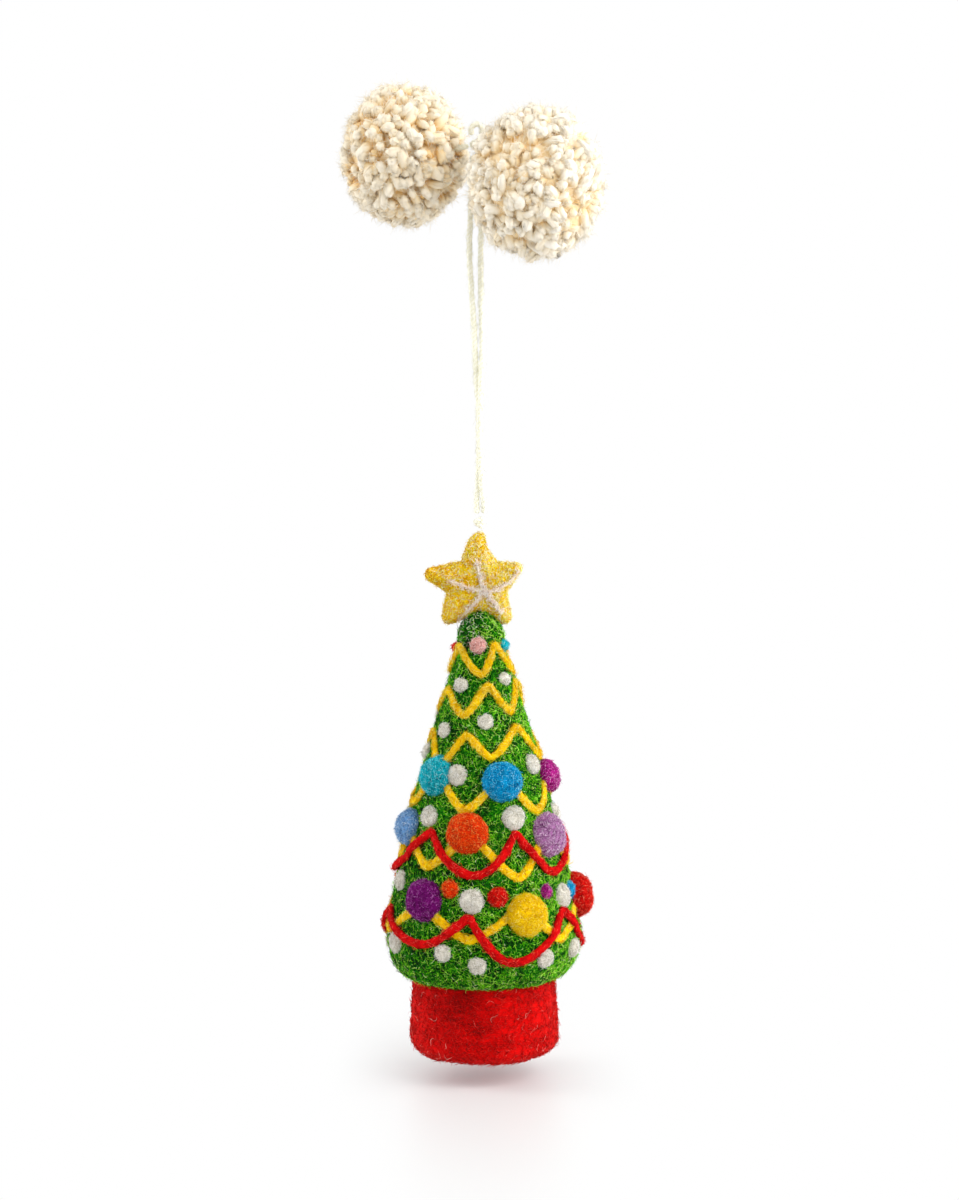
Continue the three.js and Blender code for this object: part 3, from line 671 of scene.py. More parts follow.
BALL_PROUD = 3.4 * MM
SIDE_BALL_PROUD = 4.6 * MM
PELLET_PROUD = 1.4 * MM
SMALL_PELLET_PROUD = 0.9 * PELLET_PROUD
LARGE_BALL = 7 * MM
BALL_SQUARENESS = 0.85
SUNK_SHARE = 0.5
BALL_SWELL, BALL_GRAIN = 0.035, 0.02
BALL_PATCHES = (0.2, 0.9 * MM)
BALL_TONE, BALL_FIBRE_TONES = 0.2, (0.5, 0.24)
BALL_MAP_SHARE, BALL_EDGE = 0.2, 0.08
BALL_FELTING = {"fuzz": 0.95, "fine": 0.66, "short_share": 0.86}
BALL_COAT, PELLET_COAT, SMALL_PELLET_COAT = (30, 0.62), (32, 0.6), (22, 0.7)
BALLS = {
    "turquoise": (-48.5, 0.442, 9.4), "blue": (18, 0.453, 9.2), "magenta": (84.5, 0.46, 7.8),
    "light_blue": (-74, 0.589, 8.8), "orange": (-12, 0.583, 9.8), "lavender": (57, 0.603, 10.6),
    "purple": (-40.5, 0.762, 9.7), "yellow": (27.5, 0.798, 10.3), "red": (89, 0.785, 10.6),
    "back_orange": (132, 0.447, 9.4), "back_purple": (178, 0.442, 9.6),
    "back_yellow": (224, 0.449, 9.2), "back_blue": (130, 0.584, 10.2),
    "back_red": (180, 0.579, 10), "back_magenta": (230, 0.589, 10.4),
    "back_turquoise": (136, 0.786, 10.6), "back_lavender": (184, 0.781, 10.6),
    "back_orange_low": (232, 0.776, 10.4),
}
PELLETS = [
    ("pink", -8, 0.101, 3.8), ("white", 45, 0.191, 3), ("white", 4.5, 0.298, 3.4),
    ("white", -24.5, 0.436, 4.8), ("white", 58, 0.417, 4.7), ("white", -48, 0.549, 4.9),
    ("white", 25, 0.547, 5.7), ("red", 9, 0.747, 4.6), ("orange", -22, 0.727, 4.1),
    ("white", -7.5, 0.757, 5.6), ("white", 62, 0.766, 5.8), ("white", -64, 0.886, 5.2),
    ("white", 38.5, 0.917, 4.3), ("white", 66, 0.909, 4.3), ("white", -24.5, 0.894, 4),
    ("white", -4, 0.924, 4), ("white", -37, 0.206, 3.4),
]
SMALL_PELLETS = {
    "blue": [(75, 0.759, 4)],
    "magenta": [(45, 0.745, 3.2), (127, 0.745, 3.4)],
    "orange": [(255, 0.74, 3.6)],
    "pink": [(140, 0.098, 3.6)],
    "red": [(-88, 0.112, 2.4), (168, 0.73, 4)],
    "turquoise": [(70, 0.105, 2.8), (226, 0.098, 2.6)],
    "white": [
        (-52, 0.325, 3.6), (82, 0.556, 4.8), (-70, 0.727, 4.8), (-85, 0.39, 3.8),
        (120, 0.2, 3.2), (165, 0.3, 3.4), (210, 0.19, 3.2), (248, 0.3, 3.4), (155, 0.43, 4.6),
        (201, 0.43, 4.6), (155, 0.555, 5), (205, 0.555, 5), (256, 0.565, 5), (112, 0.766, 5.2),
        (160, 0.756, 5.2), (208, 0.766, 5.2), (100, 0.93, 3.8), (128, 0.908, 4),
        (160, 0.938, 3.8), (190, 0.908, 4), (222, 0.938, 3.8), (256, 0.918, 4),
    ],
}
sunk_places = []


def add_ball(gathered, spot, proud, seed, density, scale, low, high):
    """A felted ball sunk in the cone to its middle, under its own fibres."""
    rng = np.random.default_rng(seed)
    angle, share, diameter = spot
    diameter *= MM
    place, normal = (found[0] for found in on_cone([angle], [share]))
    sideways = unit(np.cross(normal, (0, 0, 1)))
    upward = np.cross(sideways, normal)
    rows, columns = (22, 40) if diameter > LARGE_BALL else (14, 26)
    polar = np.linspace(0, math.pi, rows + 2)[1:-1, None]
    turn = TURN * np.arange(columns) / columns
    reach = diameter / 2 * np.sin(polar) ** BALL_SQUARENESS
    height = np.where(polar < math.pi / 2, proud, SUNK_SHARE * proud) * np.cos(polar)
    rim = rim_places(place, sideways, upward, turn, reach) + normal * height[..., None]
    poles = np.stack([place + proud * normal, place - SUNK_SHARE * proud * normal])
    spots = np.concatenate([rim.reshape(-1, 3), poles])
    swell = layered(
        spots, (BALL_SWELL, diameter / 3, seed), (BALL_GRAIN, diameter / 8, seed + 1),
    )
    spots = spots + unit(spots - place) * (swell * diameter)[:, None]
    faces, maps = turned_over(*closed_grid(rows, columns))
    base_high = low + BALL_MAP_SHARE * (high - low)
    tones = layered(spots, (*BALL_PATCHES, seed + 2), base=BALL_TONE)
    gathered.add(spots, faces, maps, tones, low, base_high)
    roots, facing = scatter(spots, faces, int(density * (diameter / MM) ** 2), rng)
    out = dot(roots - place, normal)[:, 0] > -BALL_EDGE * proud
    roots, facing = roots[out], facing[out]
    felt_coat(
        gathered, roots, facing, rng, fibre_tones(len(roots), rng, *BALL_FIBRE_TONES),
        base_high, high, scale=scale, **BALL_FELTING,
    )
    sunk_places.append((place, diameter / 2))


def add_balls(name, colour, spots, proud, seed, density, scale, *nodes):
    """One piece of one or more balls, with an even share of its map for each."""
    balls = Gathered()
    for index, spot in enumerate(spots):
        low, high = index / len(spots), (index + 1) / len(spots)
        add_ball(balls, spot, proud, seed + index, density, scale, low, high)
    return balls.piece(name, "tree", f"{colour}_felt", *nodes)


for index, (place, spot) in enumerate(BALLS.items()):
    colour = place.removeprefix("back_").removesuffix("_low")
    name = f"ball_{place}"
    proud = SIDE_BALL_PROUD if place == "red" else BALL_PROUD
    add_balls(name, colour, [spot], proud, 200 + index, *BALL_COAT, name)
white_count = 0
for index, (colour, *spot) in enumerate(PELLETS):
    white_count += colour == "white"
    name = f"pellet_white_{white_count}" if colour == "white" else f"pellet_{colour}"
    add_balls(name, colour, [spot], PELLET_PROUD, 230 + index, *PELLET_COAT, name)
for colour, spots in SMALL_PELLETS.items():
    name = f"small_pellets_{colour}_felt"
    add_balls(name, colour, spots, SMALL_PELLET_PROUD, 260, *SMALL_PELLET_COAT)


# The green felt of the cone, and its coat

CONE_COLUMNS = 340
UNDERSIDE_ROWS = 26
CONE_FIBRES = 68000
COAT_ZONES = [(-1, 0.42), (0.42, 0.66), (0.66, 0.86), (0.86, 2)]
JOINED_DEPTH = 0.1 * MM
CONE_PATCHES = [(0.12, 3.2 * MM, 4), (0.1, 1 * MM, 5)]
COAT_PATCHES = [(0.1, 5 * MM, 6), (0.08, 1.6 * MM, 7)]
COAT_TONE, COAT_SPREAD, COAT_LIGHTEST = 0.38, 0.24, 0.72
# How much lighter the green is painted towards its right, where the key light falls: painted light
PAINTED_RIGHT_LIGHT = 0.08
PALE_SHARE, PALE_PATCH_SHARE, PALE_PATCH_SIZE = 0.05, 0.1, 6 * MM
PALE_TONES = (0.68, 0.9)
FLAT_FACING = -0.97
TIP_FRONT_DEPTH, TIP_FRONT_SIDE = 10 * MM, 0.5 * MM
# The tip's left half has more pale fibres, paler still, and a painted shade that darkens its other
# fibres
TIP_PALE_SHARE, TIP_PALENESS, TIP_PAINTED_SHADE = 0.2, 0.15, 0.16
BALL_CLEARANCE = 0.86
YELLOW_CLEARANCE, RED_CLEARANCE = 0.4 * YELLOW_WIDTHS[0], 0.42 * RED_WIDTH
SEARCH_BLOCK = 4000


def near_any(places, others, reach):
    """True where a place lies within reach of any of the others."""
    found = np.zeros(len(places), bool)
    for start in range(0, len(places), SEARCH_BLOCK):
        block = places[start:start + SEARCH_BLOCK]
        apart = ((block[:, None] - others[None]) ** 2).sum(-1).min(1)
        found[start:start + SEARCH_BLOCK] = apart < reach ** 2
    return found


def over_pot(places):
    """True where a place is above or below the pot, not beside it."""
    return np.hypot(places[:, 0], places[:, 1]) < POT_RADIUS


def add_cone():
    rng = np.random.default_rng(300)
    under_radius = np.linspace(outline[-1, 0], 0, UNDERSIDE_ROWS)[1:]
    underside = np.stack([under_radius, np.full_like(under_radius, outline[-1, 1])], axis=-1)
    profile = np.concatenate([outline, underside])
    profile[:, 1] = CONE_TOP - profile[:, 1]
    places, faces, maps = lathe(profile, CONE_COLUMNS)
    joined = over_pot(places) & (places[:, 2] < CONE_TOP - CONE_HEIGHT + JOINED_DEPTH)
    swell = np.where(joined, 0, felt_swell(places))
    places = places + vertex_normals(places, faces) * swell[:, None]
    base = Gathered()
    # The felt under the fibres is dark, tone 0.1: painted shade in the gaps between the fibres
    base.add(places, faces, maps, layered(places, *CONE_PATCHES, base=0.1))
    base.piece("cone_felt", "tree", "green_felt", "cone_felt")

    roots, facing = scatter(places, faces, CONE_FIBRES, rng)
    open_felt = ~((facing[:, 2] < FLAT_FACING) & over_pot(roots))
    for place, reach in sunk_places:
        open_felt &= ((roots - place) ** 2).sum(1) > (BALL_CLEARANCE * reach) ** 2
    open_felt &= ~near_any(roots, yellow_places[::2], YELLOW_CLEARANCE)
    open_felt &= ~near_any(roots, red_places[::2], RED_CLEARANCE)
    roots, facing = roots[open_felt], facing[open_felt]
    tip_front = (roots[:, 2] > CONE_TOP - TIP_FRONT_DEPTH) & (roots[:, 0] < TIP_FRONT_SIDE)
    blend = COAT_TONE + layered(roots, *COAT_PATCHES)
    # Painted light: the green is made lighter towards the right, where the key light falls
    blend = blend + PAINTED_RIGHT_LIGHT * roots[:, 0] / CONE_RADIUS - TIP_PAINTED_SHADE * tip_front
    tones = np.clip(blend + rng.normal(0, COAT_SPREAD, len(roots)), 0, COAT_LIGHTEST)
    # Pale lime fibres, scattered and in patches, are painted highlights on the green. The tip's
    # left half has a larger share of pale fibres, paler still
    pale_share = PALE_SHARE + PALE_PATCH_SHARE * np.clip(lumps(roots, PALE_PATCH_SIZE, 8), 0, 1)
    pale = rng.random(len(roots)) < np.where(tip_front, TIP_PALE_SHARE, pale_share)
    light = rng.uniform(*PALE_TONES, len(roots)) + TIP_PALENESS * tip_front
    tones = np.where(pale, light, tones)
    depth = (CONE_TOP - roots[:, 2]) / CONE_HEIGHT
    for zone, (top, bottom) in enumerate(COAT_ZONES):
        here = (depth >= top) & (depth < bottom)
        coat = Gathered()
        felt_coat(coat, roots[here], facing[here], rng, tones[here], scale=0.86, fine=0.92)
        coat.piece(f"cone_fibres_{zone + 1}", "tree", "green_felt")


add_cone()


# The pot: a drum of red felt, wound round and needled flat below

POT_BULGE = 0.7 * MM
POT_ROUNDING = 4 * MM
POT_COLUMNS = 260
WALL_ROWS, CORNER_ROWS, LID_ROWS = 46, 14, 22
LID_DEPTH = 0.2 * MM
WINDING = (1, 1, 3.5)
POT_LUMPS = (0.34, 7 * MM, 11)
WOUND_LUMPS = [(0.16, 4 * MM, 12), (0.07, 1.6 * MM, 13)]
WOUND_PATCHES = [(0.2, 6 * MM, 14), (0.12, 1.5 * MM, 15)]
POT_FIBRES = 11500
# A painted shade on the pot's front, left of middle and below its top: where it lies, how far it
# spreads and how dark it is
SHADE_SIDE, SHADE_DEPTH, SHADE_REACH = -5 * MM, 6 * MM, 7 * MM
SHADE_DARKNESS = 0.16
POT_DARKNESS = 0.75
POT_MAP_SHARE, LID_FACING = 0.8, 0.7
POT_FIBRE_TONES, PALE_FIBRE_TONES = (0.5, 0.18, 0), (0.7, 1.1)
PALE_FIBRES = 0.011
PALE_FELTING = {
    "length": 2.4 * MM, "rise": 0.6 * MM, "curl": 0.25, "stray": 0.2, "stray_rise": 1.2 * MM,
    "points": 7,
}


def painted_pot_shade(places, top):
    """How much a painted shade darkens a place, on the pot's front left of middle."""
    off = (places - (SHADE_SIDE, -POT_RADIUS, top - SHADE_DEPTH)) / SHADE_REACH
    return SHADE_DARKNESS * np.exp(-(off**2).sum(1))


def add_pot():
    rng = np.random.default_rng(310)
    low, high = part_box("pot_felt")
    top, bottom = high.z, low.z
    share = np.linspace(0, 1, WALL_ROWS)
    wall = np.stack([
        POT_RADIUS - POT_BULGE * (1 - share) ** 2, top + (bottom + POT_ROUNDING - top) * share,
    ], axis=-1)
    quarter = np.linspace(0, math.pi / 2, CORNER_ROWS)[1:]
    corner = np.stack([
        POT_RADIUS - POT_ROUNDING * (1 - np.cos(quarter)),
        bottom + POT_ROUNDING * (1 - np.sin(quarter)),
    ], axis=-1)
    inward = np.linspace(1, 0, LID_ROWS)
    lid = np.stack([wall[0, 0] * inward[:0:-1], np.full(LID_ROWS - 1, top)], axis=-1)
    floor = np.stack([corner[-1, 0] * inward[1:], np.full(LID_ROWS - 1, bottom)], axis=-1)
    places, faces, maps = lathe(np.concatenate([lid, wall, corner, floor]), POT_COLUMNS)
    normals = vertex_normals(places, faces)
    wound = places * WINDING
    swell = layered(wound, *WOUND_LUMPS, base=layered(places, POT_LUMPS)) * MM
    swell = np.where(places[:, 2] > top - LID_DEPTH, np.minimum(swell, 0), swell)
    places = places + normals * swell[:, None]
    tones = POT_DARKNESS * layered(wound, *WOUND_PATCHES, base=0.42)
    drum = Gathered()
    drum.add(places, faces, maps, tones - painted_pot_shade(places, top))
    drum.piece("pot_felt", "tree", "pot_red_felt", "pot_felt")

    roots, facing = scatter(places, faces, POT_FIBRES, rng)
    shown = facing[:, 2] < LID_FACING
    roots, facing = roots[shown], facing[shown]
    wrap = unit(np.cross(facing, (0, 0, 1)) + 1e-6)
    tones = POT_DARKNESS * fibre_tones(len(roots), rng, *POT_FIBRE_TONES)
    tones = tones - painted_pot_shade(roots, top)
    coat = Gathered()
    felt_coat(coat, roots, facing, rng, tones, 0, POT_MAP_SHARE, along=wrap, grip=0.6)
    pale = rng.random(len(roots)) < PALE_FIBRES
    add_coat(
        coat, roots[pale], facing[pale], rng, LOOSE_RADIUS,
        rng.uniform(*PALE_FIBRE_TONES, pale.sum()), POT_MAP_SHARE, 1, **PALE_FELTING,
    )
    coat.piece("pot_fibres", "tree", "pot_red_felt")


add_pot()


# The star: a puffed felt of five arms, with threads spread over its front

STAR_REACH = 12.3 * MM
STAR_HALF = 2.7 * MM
STAR_EDGE = 3.2 * MM
STAR_ROUNDING = 1.2 * MM
LEAN = 0.8 * MM
LEAN_FROM = 0.42
TIP_SHARES = [(0, 1), (68, 0.86), (146, 0.92), (223, 1.03), (280.5, 1.08)]
NOTCH_SHARES = [(38, 0.48), (112, 0.52), (188, 0.56), (255, 0.66), (318, 0.54)]
TIP_ROUND_SHARE = 0.78
TIP_CONTROL_SHARE = 1.12
SIDE_STEPS, TIP_ROUND_STEPS = 24, 20
STAR_SMOOTHINGS = 10
STAR_RINGS = 23
STAR_FIBRES = 11500
STAR_LUMPS = [(0.22, 3 * MM, 21), (0.12, 1.2 * MM, 22)]
STAR_PATCHES, STAR_COAT_PATCHES = (0.15, 2.5 * MM, 23), (0.12, 3 * MM, 24)
STAR_PAINTED_RIGHT_LIGHT = 0.22
# The star's fibre tones: middle, spread, and the share of pale fibres that are painted glints
STAR_MAP_SHARE, STAR_FIBRE_TONES = 0.25, (0.44, 0.33, 0.17)
BELLY, BELLY_REACH = 0.16, 0.6
THREAD_MIDDLE_SHARES = (0.08, -0.155)
THREAD_BEND_SHARES = [(0, 0.12), (-0.25, -0.1), (0.55, -0.12), (-0.2, -0.45), (0.24, -0.36)]
THREAD_END_SHARES = [(-0.08, 0.42), (-0.62, 0.08), (0.74, 0.26), (-0.46, -0.75), (0.42, -0.6)]
THREAD_STRANDS = 3
THREAD_POINTS = 16
THREAD_TURNS = 1.2
THREAD_RADIUS = 0.13 * MM
THREAD_PATCHES = (0.3, 0.8 * MM, 31)
LOOSE_TONES = (0.55, 0.3)
THREAD_SWING = 0.26 * MM
THREAD_HEIGHT, THREAD_LIFT = 0.2 * MM, 0.14 * MM
LOOSE_PER_STRAND = 40
LOOSE_SIDE, LOOSE_WAY, LOOSE_HEIGHT = 0.36 * MM, 0.3 * MM, 0.42 * MM
STAR_MIDDLE = np.array([0, 0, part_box("star")[1].z - STAR_REACH])


def polar_place(angle, share):
    turn = math.radians(angle)
    return np.array([math.sin(turn), math.cos(turn)]) * (share * STAR_REACH - STAR_ROUNDING)


def star_lean(spots):
    """The top arm leans to the left between its foot and its tip."""
    share = np.clip((spots[:, 1] / STAR_REACH - LEAN_FROM) / (1 - LEAN_FROM), 0, 1)
    return spots - np.stack([LEAN * np.sin(math.pi * share), 0 * share], axis=-1)


def star_outline():
    """The star's edge, across and up from its middle, as a closed line of points."""
    runs = []
    for arm, (angle, share) in enumerate(TIP_SHARES):
        before = polar_place(*NOTCH_SHARES[arm - 1])
        after = polar_place(*NOTCH_SHARES[arm])
        tip = polar_place(angle, share)
        control = polar_place(angle, share * TIP_CONTROL_SHARE)
        rise = before + (tip - before) * TIP_ROUND_SHARE
        fall = after + (tip - after) * TIP_ROUND_SHARE
        for corners, steps in (
            ((before, rise), SIDE_STEPS), ((rise, control, fall), TIP_ROUND_STEPS),
            ((fall, after), SIDE_STEPS),
        ):
            runs.append(bezier(corners, np.linspace(0, 1, steps)[:-1, None]))
    points = np.concatenate(runs)
    for _ in range(STAR_SMOOTHINGS):
        points = (np.roll(points, 1, axis=0) + 2 * points + np.roll(points, -1, axis=0)) / 4
    after = np.roll(points, -1, axis=0) - np.roll(points, 1, axis=0)
    outward = unit(np.stack([-after[:, 1], after[:, 0]], axis=-1))
    return star_lean(points + outward * STAR_ROUNDING)


star_edge = star_outline()


def star_half(spots):
    """Half the star's thickness at places across and up from its middle."""
    apart = np.linalg.norm(spots[:, None] - star_edge[None], axis=-1).min(1)
    rounded = np.sqrt(1 - (1 - np.clip(apart / STAR_EDGE, 0, 1)) ** 2)
    off = np.linalg.norm(spots, axis=-1) / (BELLY_REACH * STAR_REACH)
    return STAR_HALF * rounded * (1 + BELLY * np.clip(1 - off, 0, 1))


def over_star(spots, height):
    """Places that lie a height above the star's front."""
    return np.stack([spots[:, 0], -(star_half(spots) + height), spots[:, 1]], axis=-1)


def add_star():
    rng = np.random.default_rng(320)
    columns = len(star_edge)
    shares = np.sin(np.linspace(0, 1, STAR_RINGS + 1)[1:] * math.pi / 2)[:, None, None]
    front = over_star((shares * star_edge).reshape(-1, 2), 0).reshape(STAR_RINGS, columns, 3)
    back = (front * (1, -1, 1))[:-1][::-1]
    pole = over_star(np.zeros((1, 2)), 0)
    places = np.concatenate([front.reshape(-1, 3), back.reshape(-1, 3), pole, -pole])
    places = places + STAR_MIDDLE
    faces, maps = closed_grid(2 * STAR_RINGS - 1, columns)
    normals = -vertex_normals(places, faces)
    faces, maps = turned_over(faces, maps)
    places = places + normals * layered(places, *STAR_LUMPS)[:, None] * MM
    star = Gathered()
    star.add(places, faces, maps, layered(places, STAR_PATCHES, base=0.16), 0, STAR_MAP_SHARE)
    roots, facing = scatter(places, faces, STAR_FIBRES, rng)
    tones = fibre_tones(len(roots), rng, *STAR_FIBRE_TONES)
    tones = layered(roots, STAR_COAT_PATCHES, base=tones)
    # Painted light: the star's fibres are lighter towards its right, where the key light falls
    tones = tones + STAR_PAINTED_RIGHT_LIGHT * roots[:, 0] / STAR_REACH
    felt_coat(
        star, roots, facing, rng, tones, STAR_MAP_SHARE, 1, scale=0.7, fuzz=0.8, fine=0.8,
    )
    star.piece("star", "tree", "star_felt", "star")


def add_star_threads():
    rng = np.random.default_rng(330)
    hub, bends, ends = (
        np.array(shares) * STAR_REACH
        for shares in (THREAD_MIDDLE_SHARES, THREAD_BEND_SHARES, THREAD_END_SHARES)
    )
    share = np.linspace(0, 1, THREAD_POINTS)[:, None]
    paths, roots, ways = [], [], []
    for bend, end in zip(bends, ends):
        for strand in range(THREAD_STRANDS):
            spot = bezier((hub, bend, end), share)
            way = unit(np.gradient(spot, axis=0))
            side = np.stack([-way[:, 1], way[:, 0]], axis=-1)
            turned = TURN * (share * THREAD_TURNS + strand / THREAD_STRANDS)
            spot = spot + side * THREAD_SWING * np.sin(turned)
            height = THREAD_HEIGHT + THREAD_LIFT * np.cos(turned[:, 0])
            paths.append(over_star(spot, height) + STAR_MIDDLE)
            loose = rng.integers(0, THREAD_POINTS, LOOSE_PER_STRAND)
            off = rng.normal(0, LOOSE_SIDE, (LOOSE_PER_STRAND, 1))
            on = rng.normal(0, LOOSE_WAY, (LOOSE_PER_STRAND, 1))
            spread = spot[loose] + side[loose] * off + way[loose] * on
            roots.append(over_star(spread, LOOSE_HEIGHT) + STAR_MIDDLE)
            ways.append(np.insert(way[loose], 1, 0, axis=1))
    paths, roots, ways = np.array(paths), np.concatenate(roots), np.concatenate(ways)
    made = threads(paths, np.full((len(paths), THREAD_POINTS - 2), THREAD_RADIUS), rng, sides=6)
    bundle = Gathered()
    bundle.add(*made, layered(made[0], THREAD_PATCHES, base=0.45), 0, 0.5)
    facing = np.broadcast_to([0.0, -1.0, 0.0], roots.shape)
    felt_coat(
        bundle, roots, facing, rng, rng.normal(*LOOSE_TONES, len(roots)), 0.5, 1, scale=0.7,
        fuzz=0.5, along=ways, grip=0.55,
    )
    bundle.piece("star_threads", "tree", "star_thread", "star_threads")


add_star()
add_star_threads()


# The doubled yarn. Its strands' routes are in millimetres, from the top knot to the lower one

YARN_DIAMETER = 1.3 * MM
KNOT_YARN_RADIUS = 0.48 * YARN_DIAMETER
YARN_TURN = 3.2 * MM
YARN_PLIES, YARN_SIDES = 3, 18
YARN_RELIEF = 0.12
END_TAPER = 0.25 * MM
BIGHT_POINTS = 9
KNOT_POINTS, KNOT_DEPTH, KNOT_TURN = 90, 0.62, 0.4
HEART_HALF_SHARE, HEART_RADIUS_SHARE = 0.5, 0.55
KNOT_STEP, STRAND_STEP, LOOP_STEP, TIE_STEP = 0.2 * MM, 0.22 * MM, 0.15 * MM, 0.25 * MM
KNOT_FUZZ, STRAND_FUZZ, LOOP_FUZZ, TIE_FUZZ = 90, 620, 70, 60
FUZZ_RISE, KNOT_FUZZ_RISE = 0.35 * MM, 0.2 * MM
FUZZ_ROOT_SHARE, FUZZ_TONES = 0.95, (0.7, 0.2)
YARN_TONE, PAINTED_PLY_SHADE, KNOT_INSET = 0.25, 0.5, 0.45
STRAY_RISE, STRAND_STRAY_RISE = 0.6 * MM, 1.2 * MM
YARN_FELTING = {"length": 1.9 * MM, "curl": 0.12, "stray": 0.18, "grip": 0.75}
LEFT_ROUTE = [
    (-0.95, 0, -6.7), (-1.2, 0.2, -12), (-1.7, 0.3, -20), (-2, 0.2, -29.5), (-1.6, 0.1, -39),
    (-1.05, 0.1, -48), (-0.85, 0.3, -54), (-0.5, 0.75, -61), (-0.15, 0.85, -68), (-0.2, 0.85, -78),
    (-0.6, 0.7, -85), (-0.85, 0.2, -89), (-0.85, 0, -91.7),
]
RIGHT_ROUTE = [
    (0.95, 0, -6.7), (1, -0.1, -12), (0.9, -0.2, -20), (0.65, -0.1, -29.5), (0.6, 0, -39),
    (0.75, -0.1, -48), (0.8, -0.3, -54), (0.45, -0.8, -61), (0.1, -0.85, -68), (0.1, -0.85, -78),
    (0.5, -0.7, -85), (0.85, -0.2, -89), (0.85, 0, -91.7),
]


def step_lengths(line):
    """How long each of a line's straight runs is."""
    return np.linalg.norm(np.diff(line, axis=0), axis=1)


def lengths_along(line):
    """How far along a line each of its points lies."""
    return np.concatenate([[0], np.cumsum(step_lengths(line))])


def smooth_line(points, step):
    """A smooth line through points, with a point at every step of its length."""
    points = np.array(points, float)
    padded = np.concatenate([
        [2 * points[0] - points[1]], points, [2 * points[-1] - points[-2]],
    ])
    share = np.linspace(0, 1, 24, endpoint=False)[:, None]
    runs = []
    for a, b, c, d in zip(padded, padded[1:], padded[2:], padded[3:]):
        runs.append(0.5 * (
            2 * b + (c - a) * share + (2 * a - 5 * b + 4 * c - d) * share**2
            + (3 * b - a - 3 * c + d) * share**3
        ))
    dense = np.concatenate([*runs, points[-1:]])
    gone = lengths_along(dense)
    wanted = np.linspace(0, gone[-1], max(int(round(gone[-1] / step)), 4) + 1)
    return np.stack([np.interp(wanted, gone, dense[:, axis]) for axis in range(3)], axis=-1)


def yarn_tube(line, radius=YARN_DIAMETER / 2):
    """A closed tube of plied yarn along a line. Its section keeps its heading along the line."""
    along = unit(np.gradient(line, axis=0))
    heading = unit(np.cross(along[0], (0.3, 1, 0.2)))
    across = np.zeros_like(line)
    for index, way in enumerate(along):
        heading = unit(heading - way * (heading @ way))
        across[index] = heading
    upward = np.cross(along, across)
    gone = lengths_along(line)
    angle = TURN * np.arange(YARN_SIDES) / YARN_SIDES
    lobes = np.abs(np.cos(YARN_PLIES / 2 * (angle - TURN * gone[:, None] / YARN_TURN)))
    width = radius * (1 - YARN_RELIEF + 2 * YARN_RELIEF * (lobes - 0.5))
    taper = np.minimum(gone, gone[-1] - gone)[:, None]
    width = width * np.sqrt(np.clip(taper / END_TAPER, 0.1, 1))
    rim = rim_places(line[:, None], across[:, None], upward[:, None], angle, width)
    places = np.concatenate([rim.reshape(-1, 3), line[:1], line[-1:]])
    # Painted shade: the plies' crests are paler and the grooves between them darker
    tones = np.concatenate([(YARN_TONE + PAINTED_PLY_SHADE * lobes).reshape(-1), [0.5, 0.5]])
    return places, *turned_over(*closed_grid(len(line), YARN_SIDES)), tones


def add_fuzz(gathered, line, count, rng, low, radius=YARN_DIAMETER / 2, rise=FUZZ_RISE,
             stray_rise=STRAY_RISE):
    """Loose fibres that lie along a yarn, and a few that stand off it."""
    along = unit(np.gradient(line, axis=0))
    pick = rng.integers(2, len(line) - 2, count)
    outward = rng.normal(size=(count, 3))
    outward = unit(outward - along[pick] * dot(outward, along[pick]))
    roots = line[pick] + outward * radius * FUZZ_ROOT_SHARE
    add_coat(
        gathered, roots, outward, rng, LOOSE_RADIUS, rng.normal(*FUZZ_TONES, count), low, 1,
        rise=rise, stray_rise=stray_rise, along=along[pick], **YARN_FELTING,
    )


def knot_line(middle, radius):
    """The line of a small knot of yarn, within radius of its middle."""
    t = np.linspace(0, TURN, KNOT_POINTS)
    x = (np.sin(t) + 2 * np.sin(2 * t)) / 3
    y = (np.cos(t) - 2 * np.cos(2 * t)) / 3
    z = -np.sin(3 * t) * KNOT_DEPTH
    across, up = math.cos(KNOT_TURN), math.sin(KNOT_TURN)
    spun = np.stack([x * across - y * up, z, x * up + y * across], axis=-1)
    return np.array(middle) + spun * (radius - KNOT_INSET * YARN_DIAMETER)


def add_knot(name, body, seed):
    rng = np.random.default_rng(seed)
    low, high = (np.array(corner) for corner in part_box(name))
    middle, radius = (low + high) / 2, (high[2] - low[2]) / 2
    line = knot_line(middle, radius)
    knot = Gathered()
    knot.add(*yarn_tube(line, KNOT_YARN_RADIUS), 0, 0.4)
    half = np.array([0, 0, HEART_HALF_SHARE * radius])
    heart = smooth_line([middle - half, middle, middle + half], KNOT_STEP)
    knot.add(*yarn_tube(heart, HEART_RADIUS_SHARE * radius), 0.4, 0.5)
    add_fuzz(knot, line, KNOT_FUZZ, rng, 0.5, radius=KNOT_YARN_RADIUS, rise=KNOT_FUZZ_RISE)
    return knot.piece(name, body, "yarn", name)


def add_strand(name, route, seed):
    rng = np.random.default_rng(seed)
    line = smooth_line(np.array(route) * MM, STRAND_STEP)
    tube = Gathered()
    tube.add(*yarn_tube(line))
    strand = tube.piece(name, "yarn", "yarn", name)
    fuzz = Gathered()
    add_fuzz(fuzz, line, STRAND_FUZZ, rng, 0, stray_rise=STRAND_STRAY_RISE)
    loose = fuzz.piece(f"{name}_fuzz", "yarn", "yarn")


